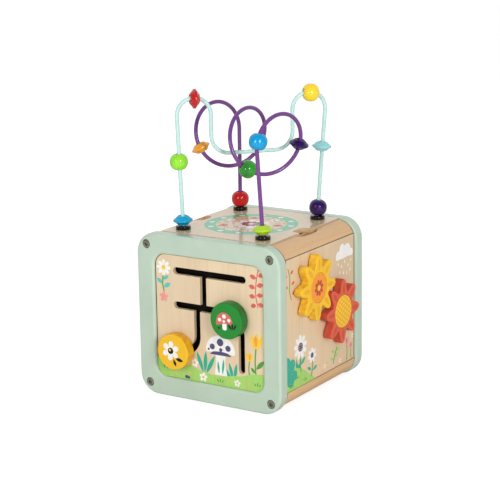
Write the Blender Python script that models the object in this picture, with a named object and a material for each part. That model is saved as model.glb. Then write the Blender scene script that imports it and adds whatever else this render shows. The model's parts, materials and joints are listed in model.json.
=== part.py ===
"""Wooden activity cube with a bead maze lid, a slot maze, gears, a clock and rolling blocks.

Run in Blender 4.5 from its text editor or with blender --background --python part.py.
Metres, +Z up. The front, with the slot maze, faces -Y and the gears face +X. The origin lies
on the floor under the middle of the whole object's box.

Each side is drawn in its own flat coordinates, as it is seen from outside: u to the right,
v up from the floor and w outwards from the cube's middle.
"""

import math

import bmesh
import bpy
from mathutils import Matrix, Vector

MM = 0.001
SEAT = 0.3 * MM  # gap between pieces that are glued, screwed or laid on one another

# Cube
CUBE_W = 200 * MM  # over the frames, left to right
CUBE_D = 198 * MM  # over the frames, front to back
CUBE_H = 200 * MM
FRAME_T = 17 * MM
FRAME_BORDER = 24 * MM
FRAME_CORNER = 25 * MM
FRAME_EDGE = 3.5 * MM  # rounding along every edge of a frame
OPENING_CORNER = 15 * MM
PROUD = 2 * MM  # the frames stand this far proud of the rails
RAIL_R = 23 * MM
RAIL_DEEP = 32 * MM  # from a rail's outer face to its inner one
RAIL_TALL = 30 * MM
RAIL_JOINT_TOP = 14.6 * MM  # from a top rail's top face down to its side panel
RAIL_JOINT_LOW = 21.8 * MM  # from a bottom rail's lowest face up to its side panel
SIDE_T = 5.5 * MM
SIDE_INSET = 3 * MM  # from the frames' sides in to a side panel's face
BASE_T = 5 * MM
BASE_LIFT = 10 * MM
BASE_LEDGE = 6 * MM

# Front and back panels
PANEL_T = 5 * MM
PANEL_INSET = 4 * MM
PANEL_LAP = 4 * MM  # the panels reach this far behind the frames' borders

# Bolts
BOLT_INSET = 14 * MM
BOLT_HEAD_R = 4.7 * MM
BOLT_HEAD_T = 4 * MM
BOLT_R = 2.2 * MM
BOLT_L = 34 * MM
BOLT_SUNK = 0.8 * MM
COUNTERBORE_R = 5.4 * MM
HEX_R = 2.9 * MM
HEX_DEEP = 2.2 * MM

# Lid
LID_T = 6 * MM
LID_HALF = 76 * MM
LID_GAP = 0.5 * MM
NOTCH_LONG = 28 * MM
NOTCH_DEEP = 12 * MM
NOTCH_CORNER = 8 * MM
LID_CORNER = 2 * MM
SCOOP_LONG = 50 * MM
SCOOP_WIDE = 7 * MM
SCOOP_DEEP = 4 * MM

# Bead maze
WIRE_R = 2.25 * MM
BUSH_R = 9 * MM
BUSH_H = 4.2 * MM
LEG_X = 56 * MM
LEG_Y = 63.3 * MM
AQUA_CROWN_Z = 336.2 * MM  # middle of the aqua wire's end arches
AQUA_CROWN_R = 20.7 * MM
AQUA_LEFT = -68.4 * MM  # middles of the arches along the diagonal
AQUA_RIGHT = 74.2 * MM
AQUA_DIP_Z = 289 * MM
AQUA_DIP_R = 21.7 * MM
COIL_R = 37.6 * MM
COIL_TURNS = 2.5
COIL_PITCH = 72.4 * MM
COIL_EASE = 200  # degrees over which the coil's advance starts and stops
COIL_YAW = -22  # degrees from +X
COIL_MID = (-2.5 * MM, -1.1 * MM, 304 * MM)
BALL_R = 10.3 * MM
BICONE_R = 11 * MM
BICONE_H = 14 * MM
BEAD_BORE_R = 3.5 * MM
BEAD_DROP = 0.9 * MM  # a bead's middle lies this far inside its wire's curve

# Slot maze
SLOT_W = 8.5 * MM
SLOT_TOP = 157 * MM
SLOT_MID = 115 * MM
SLOT_LEFT = -46 * MM
SLOT_RIGHT = 47 * MM
LINK_U = -8 * MM
HOOK_U = -17.5 * MM
HOOK_V = 80 * MM
HOOK_R = 20.4 * MM
HOOK_REST = -107  # degrees, where the yellow knob stands on its arc
BEND_U = 16.5 * MM
BEND_R = 28 * MM
BEND_REST = 54  # degrees, where the green knob stands on its arc
BEND_FOOT = 48 * MM
KNOB_R = 21.5 * MM
KNOB_T = 13.5 * MM
KNOB_LIFT = 1.5 * MM
KNOB_EDGE = 2 * MM
PIN_SLACK = 0.35 * MM
TENON_R = 2.5 * MM
WASHER_R = 8 * MM
WASHER_T = 2.5 * MM
BACKING_T = 3 * MM
BACKING_RIM = 5.5 * MM

# Gears
TEETH = 8
GEAR_TIP_R = 40 * MM
GEAR_ROOT_R = 25.3 * MM
GEAR_TIP_DROP = 0.8 * MM
TOOTH_TOP = 0.12  # of half a tooth's pitch
TOOTH_FLANK = 0.78
GEAR_T = 11 * MM
GEAR_LIFT = 1.3 * MM
GEAR_EDGE = 1.2 * MM
SUN_U = -26 * MM
SUN_V = 140 * MM
GEAR_APART = 73 * MM
GEAR_SLOPE = -36  # degrees, the line from the sun gear to the flower gear
SUN_DISC_R = 18 * MM
FLOWER_DISC_R = 20 * MM
DISC_T = 1.5 * MM
AXLE_R = 4 * MM
AXLE_HEAD_R = 7 * MM
AXLE_HEAD_T = 2 * MM
AXLE_SLACK = 0.3 * MM

# Clock
CLOCK_V = 106 * MM
DIAL_R = 62 * MM
DIAL_T = 3 * MM
HAND_T = 2.5 * MM
HAND_GAP = 0.5 * MM
HOUR_L = 32 * MM
MINUTE_L = 46 * MM
HOUR_REST = 60  # degrees back from 12 o'clock, so ten o'clock
MINUTE_REST = -60  # ten past

# Rolling blocks
BLOCK_SIDE = 30 * MM
BLOCK_LONG = 33 * MM
BLOCK_GAP = 1.5 * MM
BLOCK_V = 108 * MM
BLOCK_EDGE = 2 * MM
ROD_R = 3 * MM
ROD_SLACK = 0.3 * MM
ROD_W = 77 * MM
WINDOW_SLACK = 3 * MM
CHEEK_T = 9 * MM
CHEEK_TALL = 24 * MM

KNOB_FRONT = CUBE_D / 2 - PANEL_INSET + KNOB_LIFT + KNOB_T
CUBE_Y = (KNOB_FRONT - CUBE_D / 2) / 2  # puts the origin under the middle of the whole box
FRAME_IN = CUBE_D / 2 - FRAME_T
PANEL_OUT = CUBE_D / 2 - PANEL_INSET
PANEL_IN = PANEL_OUT - PANEL_T
OPENING_HALF = CUBE_W / 2 - FRAME_BORDER
SIDE_OUT = CUBE_W / 2 - SIDE_INSET
SIDE_IN = SIDE_OUT - SIDE_T
RAIL_END = FRAME_IN - SEAT
LID_TOP = CUBE_H
PIN_R = SLOT_W / 2 - PIN_SLACK

COLOURS = {
    "mint": (0.53, 0.65, 0.52, 0.45),
    "ply": (0.78, 0.60, 0.40, 0.5),
    "beech": (0.73, 0.48, 0.26, 0.5),
    "sidewood": (0.70, 0.51, 0.33, 0.5),
    "black": (0.01, 0.01, 0.01, 0.5),
    "steel": (0.18, 0.18, 0.17, 0.4),
    "yellow": (0.90, 0.55, 0.03, 0.4),
    "orange": (0.95, 0.38, 0.06, 0.4),
    "coral": (0.72, 0.13, 0.07, 0.4),
    "amber": (0.97, 0.58, 0.04, 0.4),
    "green": (0.03, 0.29, 0.04, 0.4),
    "aqua": (0.51, 0.78, 0.74, 0.3),
    "purple": (0.19, 0.06, 0.26, 0.3),
    "blue": (0.01, 0.22, 0.60, 0.15),
    "lime": (0.30, 0.83, 0.05, 0.15),
    "red": (0.58, 0.01, 0.01, 0.15),
    "lemon": (0.96, 0.68, 0.05, 0.15),
    "pale_aqua": (0.33, 0.72, 0.76, 0.15),
    "violet": (0.03, 0.002, 0.10, 0.15),
    "tangerine": (0.87, 0.38, 0.03, 0.15),
    "leaf": (0.03, 0.30, 0.03, 0.15),
    "sky": (0.01, 0.38, 0.72, 0.15),
    "chartreuse": (0.46, 0.75, 0.03, 0.15),
    "white": (0.85, 0.85, 0.82, 0.4),
}


def side(w_axis, u_axis):
    """The matrix from a side's u, v, w coordinates to the world."""
    turned = Matrix((u_axis, (0, 0, 1), w_axis)).transposed().to_4x4()
    return Matrix.Translation((0, CUBE_Y, 0)) @ turned


FRONT = side((0, -1, 0), (1, 0, 0))
BACK = side((0, 1, 0), (-1, 0, 0))
RIGHT = side((1, 0, 0), (0, 1, 0))
LEFT = side((-1, 0, 0), (0, -1, 0))
UP = Matrix.Translation((0, CUBE_Y, 0))


for old in list(bpy.data.objects):
    bpy.data.objects.remove(old, do_unlink=True)
solids = bpy.data.collections.new("Activity_cube")
cutters = bpy.data.collections.new("Cutters")
bpy.context.scene.collection.children.link(solids)
bpy.context.scene.collection.children.link(cutters)


def material(colour):
    """The painted or bare wood, plastic or metal finish of that name."""
    found = bpy.data.materials.get(colour)
    if found:
        return found
    red, green, blue, rough = COLOURS[colour]
    made = bpy.data.materials.new(colour)
    made.use_nodes = True
    shader = made.node_tree.nodes["Principled BSDF"]
    shader.inputs["Base Color"].default_value = (red, green, blue, 1)
    shader.inputs["Roughness"].default_value = rough
    shader.inputs["Metallic"].default_value = 1 if colour == "steel" else 0
    return made


def add(name, mesh, place, colour=None):
    """Links a mesh as one sub-part, or as a cutter when it has no colour."""
    made = bpy.data.objects.new(name, mesh)
    made.matrix_world = place
    (solids if colour else cutters).objects.link(made)
    if colour:
        mesh.materials.clear()
        mesh.materials.append(material(colour))
    else:
        made.hide_render = True
        made.display_type = "WIRE"
    return made


def cut(target, *tools):
    """Cuts each tool out of the target."""
    for tool in tools:
        boolean = target.modifiers.new(tool.name, "BOOLEAN")
        boolean.operation = "DIFFERENCE"
        boolean.solver = "EXACT"
        boolean.object = tool


def arc(centre, radius, start, end, steps):
    """Points on an arc, both ends included, angles in degrees."""
    angles = [math.radians(start + (end - start) * k / steps) for k in range(steps + 1)]
    return [
        (centre[0] + radius * math.cos(a), centre[1] + radius * math.sin(a)) for a in angles
    ]


def rounded(half_u, half_v, corner, middle=(0, 0), steps=4):
    """A rounded rectangle, anticlockwise."""
    points = []
    for turn, (su, sv) in enumerate(((1, 1), (-1, 1), (-1, -1), (1, -1))):
        centre = (middle[0] + su * (half_u - corner), middle[1] + sv * (half_v - corner))
        points += arc(centre, corner, 90 * turn, 90 * turn + 90, steps)
    return points


def circle(middle, radius, steps):
    """A closed ring of points, anticlockwise."""
    return arc(middle, radius, 0, 360, steps)[:-1]


def polygon_mesh(name, loops, low, high, edge=0.0, rows=2):
    """A flat plate from closed loops, the first outside and the others holes."""
    curve = bpy.data.curves.new(name, "CURVE")
    curve.dimensions = "2D"
    curve.fill_mode = "BOTH"
    curve.extrude = (high - low) / 2 - edge
    curve.bevel_depth = edge
    curve.bevel_resolution = rows
    curve.offset = -edge
    for hole, loop in enumerate(loops):
        spline = curve.splines.new("POLY")
        spline.points.add(len(loop) - 1)
        ordered = list(reversed(loop)) if hole else loop
        for point, (u, v) in zip(spline.points, ordered):
            point.co = (u, v, 0, 1)
        spline.use_cyclic_u = True
    drawn = bpy.data.objects.new(name, curve)
    cutters.objects.link(drawn)
    graph = bpy.context.evaluated_depsgraph_get()
    mesh = bpy.data.meshes.new_from_object(drawn.evaluated_get(graph))
    bpy.data.objects.remove(drawn, do_unlink=True)
    shaped = bmesh.new()
    shaped.from_mesh(mesh)
    bmesh.ops.translate(shaped, verts=shaped.verts, vec=(0, 0, (low + high) / 2))
    bmesh.ops.remove_doubles(shaped, verts=shaped.verts, dist=0.00001)
    bmesh.ops.recalc_face_normals(shaped, faces=shaped.faces)
    shaped.to_mesh(mesh)
    shaped.free()
    return mesh


def plate(name, place, loops, low, high, colour=None, edge=0.0, rows=2):
    """A flat piece on one side of the cube, between two distances from its middle."""
    return add(name, polygon_mesh(name, loops, low, high, edge, rows), place, colour)


def revolve(name, place, profile, colour=None, steps=24):
    """Turns a closed profile of (radius, height) points about the local Z axis."""
    shaped = bmesh.new()
    ring = [shaped.verts.new((radius, 0, height)) for radius, height in profile]
    pairs = list(zip(ring, ring[1:] + ring[:1]))
    rim = [shaped.edges.new(p) for p in pairs if p[0].co.x + p[1].co.x > 0]
    bmesh.ops.spin(
        shaped, geom=rim, cent=(0, 0, 0), axis=(0, 0, 1), angle=2 * math.pi, steps=steps
    )
    bmesh.ops.remove_doubles(shaped, verts=shaped.verts, dist=0.00001)
    bmesh.ops.recalc_face_normals(shaped, faces=shaped.faces)
    mesh = bpy.data.meshes.new(name)
    shaped.to_mesh(mesh)
    shaped.free()
    return add(name, mesh, place, colour)


def disc(radius, low, high):
    """The profile of a plain solid disc."""
    return [(0, high), (radius, high), (radius, low), (0, low)]


def ring(inner, outer, low, high):
    """The profile of a flat ring."""
    return [(inner, high), (outer, high), (outer, low), (inner, low)]


def slide(place, u, v, w=0.0):
    """A side's matrix moved to a point on it."""
    return place @ Matrix.Translation((u, v, w))


# Frames, with the rebate that each panel lies in and the counterbored bolt holes
MIDDLE = (0, CUBE_H / 2)
BOLT_U = CUBE_W / 2 - BOLT_INSET
BOLT_V = (BOLT_INSET, CUBE_H - BOLT_INSET)
REBATE_HALF = OPENING_HALF + PANEL_LAP
bolt_profile = [
    (0, CUBE_D / 2 - BOLT_SUNK),
    (BOLT_HEAD_R, CUBE_D / 2 - BOLT_SUNK),
    (BOLT_HEAD_R, CUBE_D / 2 - BOLT_SUNK - BOLT_HEAD_T),
    (BOLT_R, CUBE_D / 2 - BOLT_SUNK - BOLT_HEAD_T),
    (BOLT_R, CUBE_D / 2 - BOLT_L),
    (0, CUBE_D / 2 - BOLT_L),
]
bolt_hole = [
    (0, CUBE_D / 2 + MM),
    (COUNTERBORE_R, CUBE_D / 2 + MM),
    (COUNTERBORE_R, CUBE_D / 2 - BOLT_SUNK - BOLT_HEAD_T - SEAT),
    (BOLT_R + SEAT, CUBE_D / 2 - BOLT_SUNK - BOLT_HEAD_T - SEAT),
    (BOLT_R + SEAT, CUBE_D / 2 - BOLT_L - MM),
    (0, CUBE_D / 2 - BOLT_L - MM),
]
holes = {}
for label, place in (("front", FRONT), ("rear", BACK)):
    outer = rounded(CUBE_W / 2, CUBE_H / 2, FRAME_CORNER, MIDDLE)
    inner = rounded(OPENING_HALF, OPENING_HALF, OPENING_CORNER, MIDDLE)
    frame = plate(
        f"frame_{label}", place, [outer, inner], FRAME_IN, CUBE_D / 2, "mint", FRAME_EDGE, 1
    )
    rebate = rounded(REBATE_HALF, REBATE_HALF, OPENING_CORNER, MIDDLE)
    cut(frame, plate(f"rebate_{label}", place, [rebate], FRAME_IN - MM, PANEL_OUT + SEAT))
    corners = [(u, v) for v in BOLT_V for u in (-BOLT_U, BOLT_U)]
    for number, (u, v) in enumerate(corners, 1):
        spot = slide(place, u, v)
        hole = revolve(f"bolt_hole_{label}_{number}", spot, bolt_hole, steps=10)
        cut(frame, hole)
        world_u = (spot @ Vector((0, 0, 0))).x
        holes.setdefault((world_u > 0, v > CUBE_H / 2), []).append(hole)
        bolt = revolve(f"bolt_{label}_{number}", spot, bolt_profile, "steel", 10)
        top = CUBE_D / 2 - BOLT_SUNK
        hexagon = [circle((0, 0), HEX_R, 6)]
        cut(bolt, plate(f"socket_{label}_{number}", spot, hexagon, top - HEX_DEEP, top + MM))

# Rails, drawn for the right-hand side and mirrored to the left
RAIL_OUT = CUBE_W / 2 - PROUD
RAIL_TOP = CUBE_H - PROUD
RAIL_IN = RAIL_OUT - RAIL_DEEP
SHELF = SIDE_IN - SEAT
top_centre = (RAIL_OUT - RAIL_R, RAIL_TOP - RAIL_R)
low_centre = (RAIL_OUT - RAIL_R, PROUD + RAIL_R)
lid_wall = LID_HALF + LID_GAP
joint_top = RAIL_TOP - RAIL_JOINT_TOP
joint_low = PROUD + RAIL_JOINT_LOW
wall_angle = math.degrees(math.acos((lid_wall - top_centre[0]) / RAIL_R))
top_angle = math.degrees(math.asin((joint_top - top_centre[1]) / RAIL_R))
low_angle = math.degrees(math.asin((joint_low - low_centre[1]) / RAIL_R))
ledge_top = LID_TOP - LID_T - SEAT
base_low = PROUD + BASE_LIFT
base_half = RAIL_IN + BASE_LEDGE
top_rail = [
    (RAIL_IN, RAIL_TOP - RAIL_TALL),
    (SHELF, RAIL_TOP - RAIL_TALL),
    (SHELF, joint_top),
    *arc(top_centre, RAIL_R, top_angle, wall_angle, 7),
    (lid_wall, ledge_top),
    (RAIL_IN, ledge_top),
]
low_rail = [
    (RAIL_IN, PROUD),
    *arc(low_centre, RAIL_R, -90, low_angle, 8),
    (SHELF, joint_low),
    (SHELF, PROUD + RAIL_TALL),
    (base_half + SEAT, PROUD + RAIL_TALL),
    (base_half + SEAT, base_low - SEAT),
    (RAIL_IN, base_low - SEAT),
]
scoop = circle((0, 0), SCOOP_LONG / 2, 14)
scoop = [(lid_wall + u * 2 * SCOOP_WIDE / SCOOP_LONG, v) for u, v in scoop]
for label, mirror in (("left", -1), ("right", 1)):
    for height, outline in (("top", top_rail), ("bottom", low_rail)):
        drawn = [(mirror * u, v) for u, v in outline]
        drawn = drawn if mirror > 0 else drawn[::-1]
        rail = plate(f"rail_{height}_{label}", FRONT, [drawn], -RAIL_END, RAIL_END, "beech")
        cut(rail, *holes[(mirror > 0, height == "top")])
        if height == "top":
            oval = [(mirror * u, v) for u, v in scoop]
            oval = oval if mirror > 0 else oval[::-1]
            floor = RAIL_TOP - SCOOP_DEEP
            cut(rail, plate(f"scoop_{label}", UP, [oval], floor, CUBE_H))
            middle = (mirror * (RAIL_IN + 4 * MM), 0)
            window = [rounded(6.5 * MM, NOTCH_LONG / 2 + 3 * MM, 2 * MM, middle, 2)]
            low = RAIL_TOP - RAIL_TALL + 12 * MM
            cut(rail, plate(f"finger_{label}", UP, window, low, CUBE_H))

# Side panels and base
side_low = joint_low + SEAT
side_high = joint_top - SEAT
side_middle = (0, (side_low + side_high) / 2)
side_loop = rounded(RAIL_END, (side_high - side_low) / 2, 0.5 * MM, side_middle, 1)
right_panel = plate("panel_right", RIGHT, [side_loop], SIDE_IN, SIDE_OUT, "sidewood")
left_panel = plate("panel_left", LEFT, [side_loop], SIDE_IN, SIDE_OUT, "sidewood")
base_loop = rounded(base_half, RAIL_END, 2 * MM, steps=2)
plate("base", UP, [base_loop], base_low, base_low + BASE_T, "ply")


# Slot maze
def slot_outline(path):
    """The rounded outline of a slot along a path."""
    half = SLOT_W / 2
    sides = []
    for way in (path, path[::-1]):
        run = []
        for k, point in enumerate(way):
            here = Vector(point)
            before = Vector(way[max(k - 1, 0)])
            after = Vector(way[min(k + 1, len(way) - 1)])
            along = (after - before).normalized()
            run.append(here + half * Vector((along.y, -along.x)))
        last = (Vector(way[-1]) - Vector(way[-2])).normalized()
        heading = math.degrees(math.atan2(last.y, last.x))
        sides += [tuple(p) for p in run[:-1]]
        sides += arc(way[-1], half, heading - 90, heading + 90, 8)[:-1]
    return sides


BEND_V = SLOT_MID - BEND_R
HOOK_C = (HOOK_U - HOOK_R, HOOK_V)
bend = arc((BEND_U, BEND_V), BEND_R, 90, 0, 10)
hook = arc(HOOK_C, HOOK_R, 0, HOOK_REST - 6, 12)
slots = {
    "slot_top": [(SLOT_LEFT, SLOT_TOP), (SLOT_RIGHT, SLOT_TOP)],
    "slot_link": [(LINK_U, SLOT_TOP), (LINK_U, SLOT_MID)],
    "slot_bend": [(SLOT_LEFT, SLOT_MID), *bend, (BEND_U + BEND_R, BEND_FOOT)],
    "slot_hook": [(HOOK_U, SLOT_MID), *hook],
}
panel_half = REBATE_HALF - SEAT
panel_loop = rounded(panel_half, panel_half, OPENING_CORNER - SEAT, MIDDLE)
front_panel = plate("panel_front", FRONT, [panel_loop], PANEL_IN, PANEL_OUT, "ply")
for name, path in slots.items():
    cut(front_panel, plate(name, FRONT, [slot_outline(path)], PANEL_IN - MM, PANEL_OUT + MM))
backing_floor = FRAME_IN + SEAT + BACKING_T
backing = plate(
    "slot_backing", FRONT, [panel_loop], FRAME_IN + SEAT, PANEL_IN - SEAT, "black"
)
pocket_half = panel_half - BACKING_RIM
pocket = [rounded(pocket_half, pocket_half, OPENING_CORNER - BACKING_RIM, MIDDLE)]
cut(backing, plate("backing_pocket", FRONT, pocket, backing_floor, PANEL_IN + MM))

knob_back = PANEL_OUT + KNOB_LIFT
washer_top = PANEL_IN - 0.4 * MM
washer_low = washer_top - WASHER_T
knob_profile = [
    (0, KNOB_FRONT),
    (KNOB_R - KNOB_EDGE, KNOB_FRONT),
    (KNOB_R - 0.3 * KNOB_EDGE, KNOB_FRONT - 0.3 * KNOB_EDGE),
    (KNOB_R, KNOB_FRONT - KNOB_EDGE),
    (KNOB_R, knob_back + KNOB_EDGE / 2),
    (KNOB_R - KNOB_EDGE / 2, knob_back),
    (PIN_R, knob_back),
    (PIN_R, PANEL_IN),
    (TENON_R, PANEL_IN),
    (TENON_R, washer_low - 0.3 * MM),
    (0, washer_low - 0.3 * MM),
]
knob_spots = {
    "green": ((BEND_U, BEND_V), BEND_R, BEND_REST),
    "yellow": (HOOK_C, HOOK_R, HOOK_REST),
}
for colour, (centre, radius, angle) in knob_spots.items():
    u, v = arc(centre, radius, angle, angle, 1)[0]
    revolve(f"knob_{colour}", slide(FRONT, u, v), knob_profile, colour, 20)
    washer = ring(TENON_R + SEAT, WASHER_R, washer_low, washer_top)
    revolve(f"washer_{colour}", slide(FRONT, u, v), washer, "white", 12)


# Gears
def tooth_radius(share):
    """The gear's radius at a share of half a tooth's pitch from the tooth's middle."""
    fall = min(max((share - TOOTH_TOP) / TOOTH_FLANK, 0), 1)
    rise = 1 - fall * fall * (3 - 2 * fall)
    crown = GEAR_TIP_DROP * min(share / TOOTH_TOP, 1) ** 2
    return GEAR_ROOT_R + (GEAR_TIP_R - GEAR_ROOT_R - crown) * rise


def gear_outline(phase):
    """Eight petal-shaped teeth, the first with its middle at the phase in degrees."""
    half = [0, 0.14, 0.28, 0.44, 0.6, 0.8, 1]
    shares = [-share for share in half[:0:-1]] + half[:-1]
    points = []
    for tooth in range(TEETH):
        for share in shares:
            angle = math.radians(phase + (tooth + share / 2) * 360 / TEETH)
            reach = tooth_radius(abs(share))
            points.append((reach * math.cos(angle), reach * math.sin(angle)))
    return points


gear_low = SIDE_OUT + GEAR_LIFT
gear_top = gear_low + GEAR_T
disc_floor = gear_top - DISC_T - SEAT
head_floor = disc_floor - AXLE_HEAD_T - 2 * SEAT
flower_u = SUN_U + GEAR_APART * math.cos(math.radians(GEAR_SLOPE))
flower_v = SUN_V + GEAR_APART * math.sin(math.radians(GEAR_SLOPE))
half_tooth = 180 / TEETH
axle_profile = [
    (0, head_floor + SEAT + AXLE_HEAD_T),
    (AXLE_HEAD_R, head_floor + SEAT + AXLE_HEAD_T),
    (AXLE_HEAD_R, head_floor + SEAT),
    (AXLE_R, head_floor + SEAT),
    (AXLE_R, SIDE_IN),
    (0, SIDE_IN),
]
gears = (
    ("sun", SUN_U, SUN_V, GEAR_SLOPE - half_tooth / 2, SUN_DISC_R, "yellow", "orange"),
    ("flower", flower_u, flower_v, GEAR_SLOPE - half_tooth / 2, FLOWER_DISC_R, "coral", "amber"),
)
for label, u, v, phase, disc_r, colour, disc_colour in gears:
    spot = slide(RIGHT, u, v)
    outline = [gear_outline(phase)]
    gear = plate(f"gear_{label}", spot, outline, gear_low, gear_top, colour, GEAR_EDGE, 0)
    well = [
        (0, gear_top + MM),
        (disc_r + SEAT, gear_top + MM),
        (disc_r + SEAT, disc_floor),
        (AXLE_HEAD_R + AXLE_SLACK, disc_floor),
        (AXLE_HEAD_R + AXLE_SLACK, head_floor),
        (AXLE_R + AXLE_SLACK, head_floor),
        (AXLE_R + AXLE_SLACK, gear_low - MM),
        (0, gear_low - MM),
    ]
    cut(gear, revolve(f"gear_well_{label}", spot, well, steps=20))
    face = disc(disc_r, disc_floor + SEAT, gear_top)
    revolve(f"disc_{label}", spot, face, disc_colour, 20)
    revolve(f"axle_{label}", spot, axle_profile, "steel", 12)
    hole = disc(AXLE_R + SEAT, SIDE_IN - MM, SIDE_OUT + MM)
    cut(right_panel, revolve(f"axle_hole_{label}", spot, hole, steps=12))

# Clock
clock_spot = slide(LEFT, 0, CLOCK_V)
dial_low = SIDE_OUT + SEAT
hour_low = dial_low + DIAL_T + HAND_GAP
minute_low = hour_low + HAND_T + HAND_GAP
clock_top = gear_top
dial_profile = ring(AXLE_R + SEAT, DIAL_R, dial_low, dial_low + DIAL_T)
revolve("clock_dial", clock_spot, dial_profile, "white", 32)
pin_profile = [
    (0, clock_top),
    (AXLE_HEAD_R - MM, clock_top),
    (AXLE_HEAD_R, clock_top - MM),
    (AXLE_HEAD_R, minute_low + HAND_T + HAND_GAP),
    (AXLE_R, minute_low + HAND_T + HAND_GAP),
    (AXLE_R, SIDE_IN),
    (0, SIDE_IN),
]
revolve("clock_pin", clock_spot, pin_profile, "coral", 12)
hole = disc(AXLE_R + SEAT, SIDE_IN - MM, SIDE_OUT + MM)
cut(left_panel, revolve("clock_hole", clock_spot, hole, steps=16))


def hand_outline(length, width):
    """A clock hand pointing along +v: a round hub, a tapering blade and a rounded tip."""
    hub = 9.5 * MM
    spread = math.degrees(math.asin(width / 2 / hub))
    blade = arc((0, length - width * 0.3), width * 0.3, 0, 180, 5)
    return arc((0, 0), hub, 90 + spread, 450 - spread, 14) + blade


for label, length, width, low, angle, colour in (
    ("hour", HOUR_L, 9 * MM, hour_low, HOUR_REST, "green"),
    ("minute", MINUTE_L, 7 * MM, minute_low, MINUTE_REST, "coral"),
):
    spot = clock_spot @ Matrix.Rotation(math.radians(angle), 4, "Z")
    loops = [hand_outline(length, width), circle((0, 0), AXLE_R + AXLE_SLACK, 16)]
    plate(f"clock_hand_{label}", spot, loops, low, low + HAND_T, colour)

# Rolling blocks in the back panel's window
row_half = 1.5 * BLOCK_LONG + BLOCK_GAP
window_half = row_half + WINDOW_SLACK
window_tall = math.sqrt(2) * BLOCK_SIDE / 2 + 1.5 * MM
block_middle = (0, BLOCK_V)
back_panel = plate("panel_rear", BACK, [panel_loop], PANEL_IN, PANEL_OUT, "ply")
window = rounded(window_half, window_tall, 6 * MM, block_middle, 4)
cut(back_panel, plate("window_rear", BACK, [window], PANEL_IN - MM, PANEL_OUT + MM))
ROLL = Matrix.Rotation(math.radians(90), 4, "Y")
rod_half = window_half + CHEEK_T - MM
rod_spot = slide(BACK, 0, BLOCK_V, ROD_W) @ ROLL
revolve("block_rod", rod_spot, disc(ROD_R, -rod_half, rod_half), "beech", 12)
rod_bore = disc(ROD_R + ROD_SLACK, -rod_half - MM / 2, rod_half + MM / 2)
rod_hole = revolve("rod_hole", rod_spot, rod_bore, steps=12)
for label, way in (("left", -1), ("right", 1)):
    middle = (way * (window_half + CHEEK_T / 2 + SEAT), BLOCK_V)
    outline = rounded(CHEEK_T / 2, CHEEK_TALL / 2, 2 * MM, middle, 3)
    low = ROD_W - ROD_R - 6 * MM
    cheek = plate(f"block_cheek_{label}", BACK, [outline], low, PANEL_IN - SEAT, "beech")
    cut(cheek, rod_hole)
half_block = BLOCK_SIDE / 2
block_loop = rounded(half_block, half_block, BLOCK_EDGE, steps=3)
bore_loop = circle((0, 0), ROD_R + ROD_SLACK, 12)
for number, colour in enumerate(("coral", "amber", "green"), 1):
    shift = (number - 2) * (BLOCK_LONG + BLOCK_GAP)
    spot = slide(BACK, shift, BLOCK_V, ROD_W) @ ROLL
    loops = [block_loop, bore_loop]
    plate(f"block_{number}", spot, loops, -BLOCK_LONG / 2, BLOCK_LONG / 2, colour)

# Lid
lid_end = RAIL_END - SEAT
lid_loop = rounded(LID_HALF, lid_end, LID_CORNER, steps=3)
lid = plate("lid", UP, [lid_loop], LID_TOP - LID_T, LID_TOP, "ply")
for label, mirror in (("left", -1), ("right", 1)):
    notch = [rounded(NOTCH_DEEP, NOTCH_LONG / 2, NOTCH_CORNER, (mirror * LID_HALF, 0), 5)]
    cut(lid, plate(f"notch_{label}", UP, notch, LID_TOP - LID_T - MM, LID_TOP + MM))

# Wires. Each path is a function of a share 0 to 1 that gives a point in the world.
bush_low = LID_TOP + SEAT
bush_top = bush_low + BUSH_H
WIRE_FOOT = LID_TOP - LID_T + MM
diagonal = Vector((LEG_X, LEG_Y, 0)).normalized()
leg_reach = math.hypot(LEG_X, LEG_Y)
dip_in = AQUA_CROWN_R + AQUA_DIP_R
aqua_flat = [(-leg_reach, WIRE_FOOT), (-leg_reach, bush_top)]
aqua_flat += arc((AQUA_LEFT, AQUA_CROWN_Z), AQUA_CROWN_R, 180, 0, 12)
aqua_flat += arc((AQUA_LEFT + dip_in, AQUA_DIP_Z + AQUA_DIP_R), AQUA_DIP_R, 180, 270, 6)
aqua_flat += arc((AQUA_RIGHT - dip_in, AQUA_DIP_Z + AQUA_DIP_R), AQUA_DIP_R, 270, 360, 6)
aqua_flat += arc((AQUA_RIGHT, AQUA_CROWN_Z), AQUA_CROWN_R, 180, 0, 12)
aqua_flat += [(leg_reach, bush_top), (leg_reach, WIRE_FOOT)]
aqua_path = [UP @ (diagonal * s + Vector((0, 0, z))) for s, z in aqua_flat]


def coil_point(degrees):
    """A point of the purple wire's coil, which starts and ends upright over its legs."""
    whole = 360 * COIL_TURNS
    near = min(degrees, whole - degrees)
    gone = near * near / (2 * COIL_EASE) if near < COIL_EASE else near - COIL_EASE / 2
    ahead = gone if degrees <= whole / 2 else whole - COIL_EASE - gone
    advance = (ahead - (whole - COIL_EASE) / 2) / 360 * COIL_PITCH
    yaw = math.radians(COIL_YAW)
    axis = Vector((math.cos(yaw), math.sin(yaw), 0))
    across = Vector((-math.sin(yaw), math.cos(yaw), 0))
    turn = math.radians(degrees)
    around = COIL_R * (math.cos(turn) * across + math.sin(turn) * Vector((0, 0, 1)))
    return UP @ (Vector(COIL_MID) + advance * axis + around)


coil_steps = 60
purple_path = [UP @ Vector((-LEG_X, LEG_Y, z)) for z in (WIRE_FOOT, bush_top)]
purple_path += [coil_point(360 * COIL_TURNS * k / coil_steps) for k in range(coil_steps + 1)]
purple_path += [UP @ Vector((LEG_X, -LEG_Y, z)) for z in (bush_top, WIRE_FOOT)]


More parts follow.
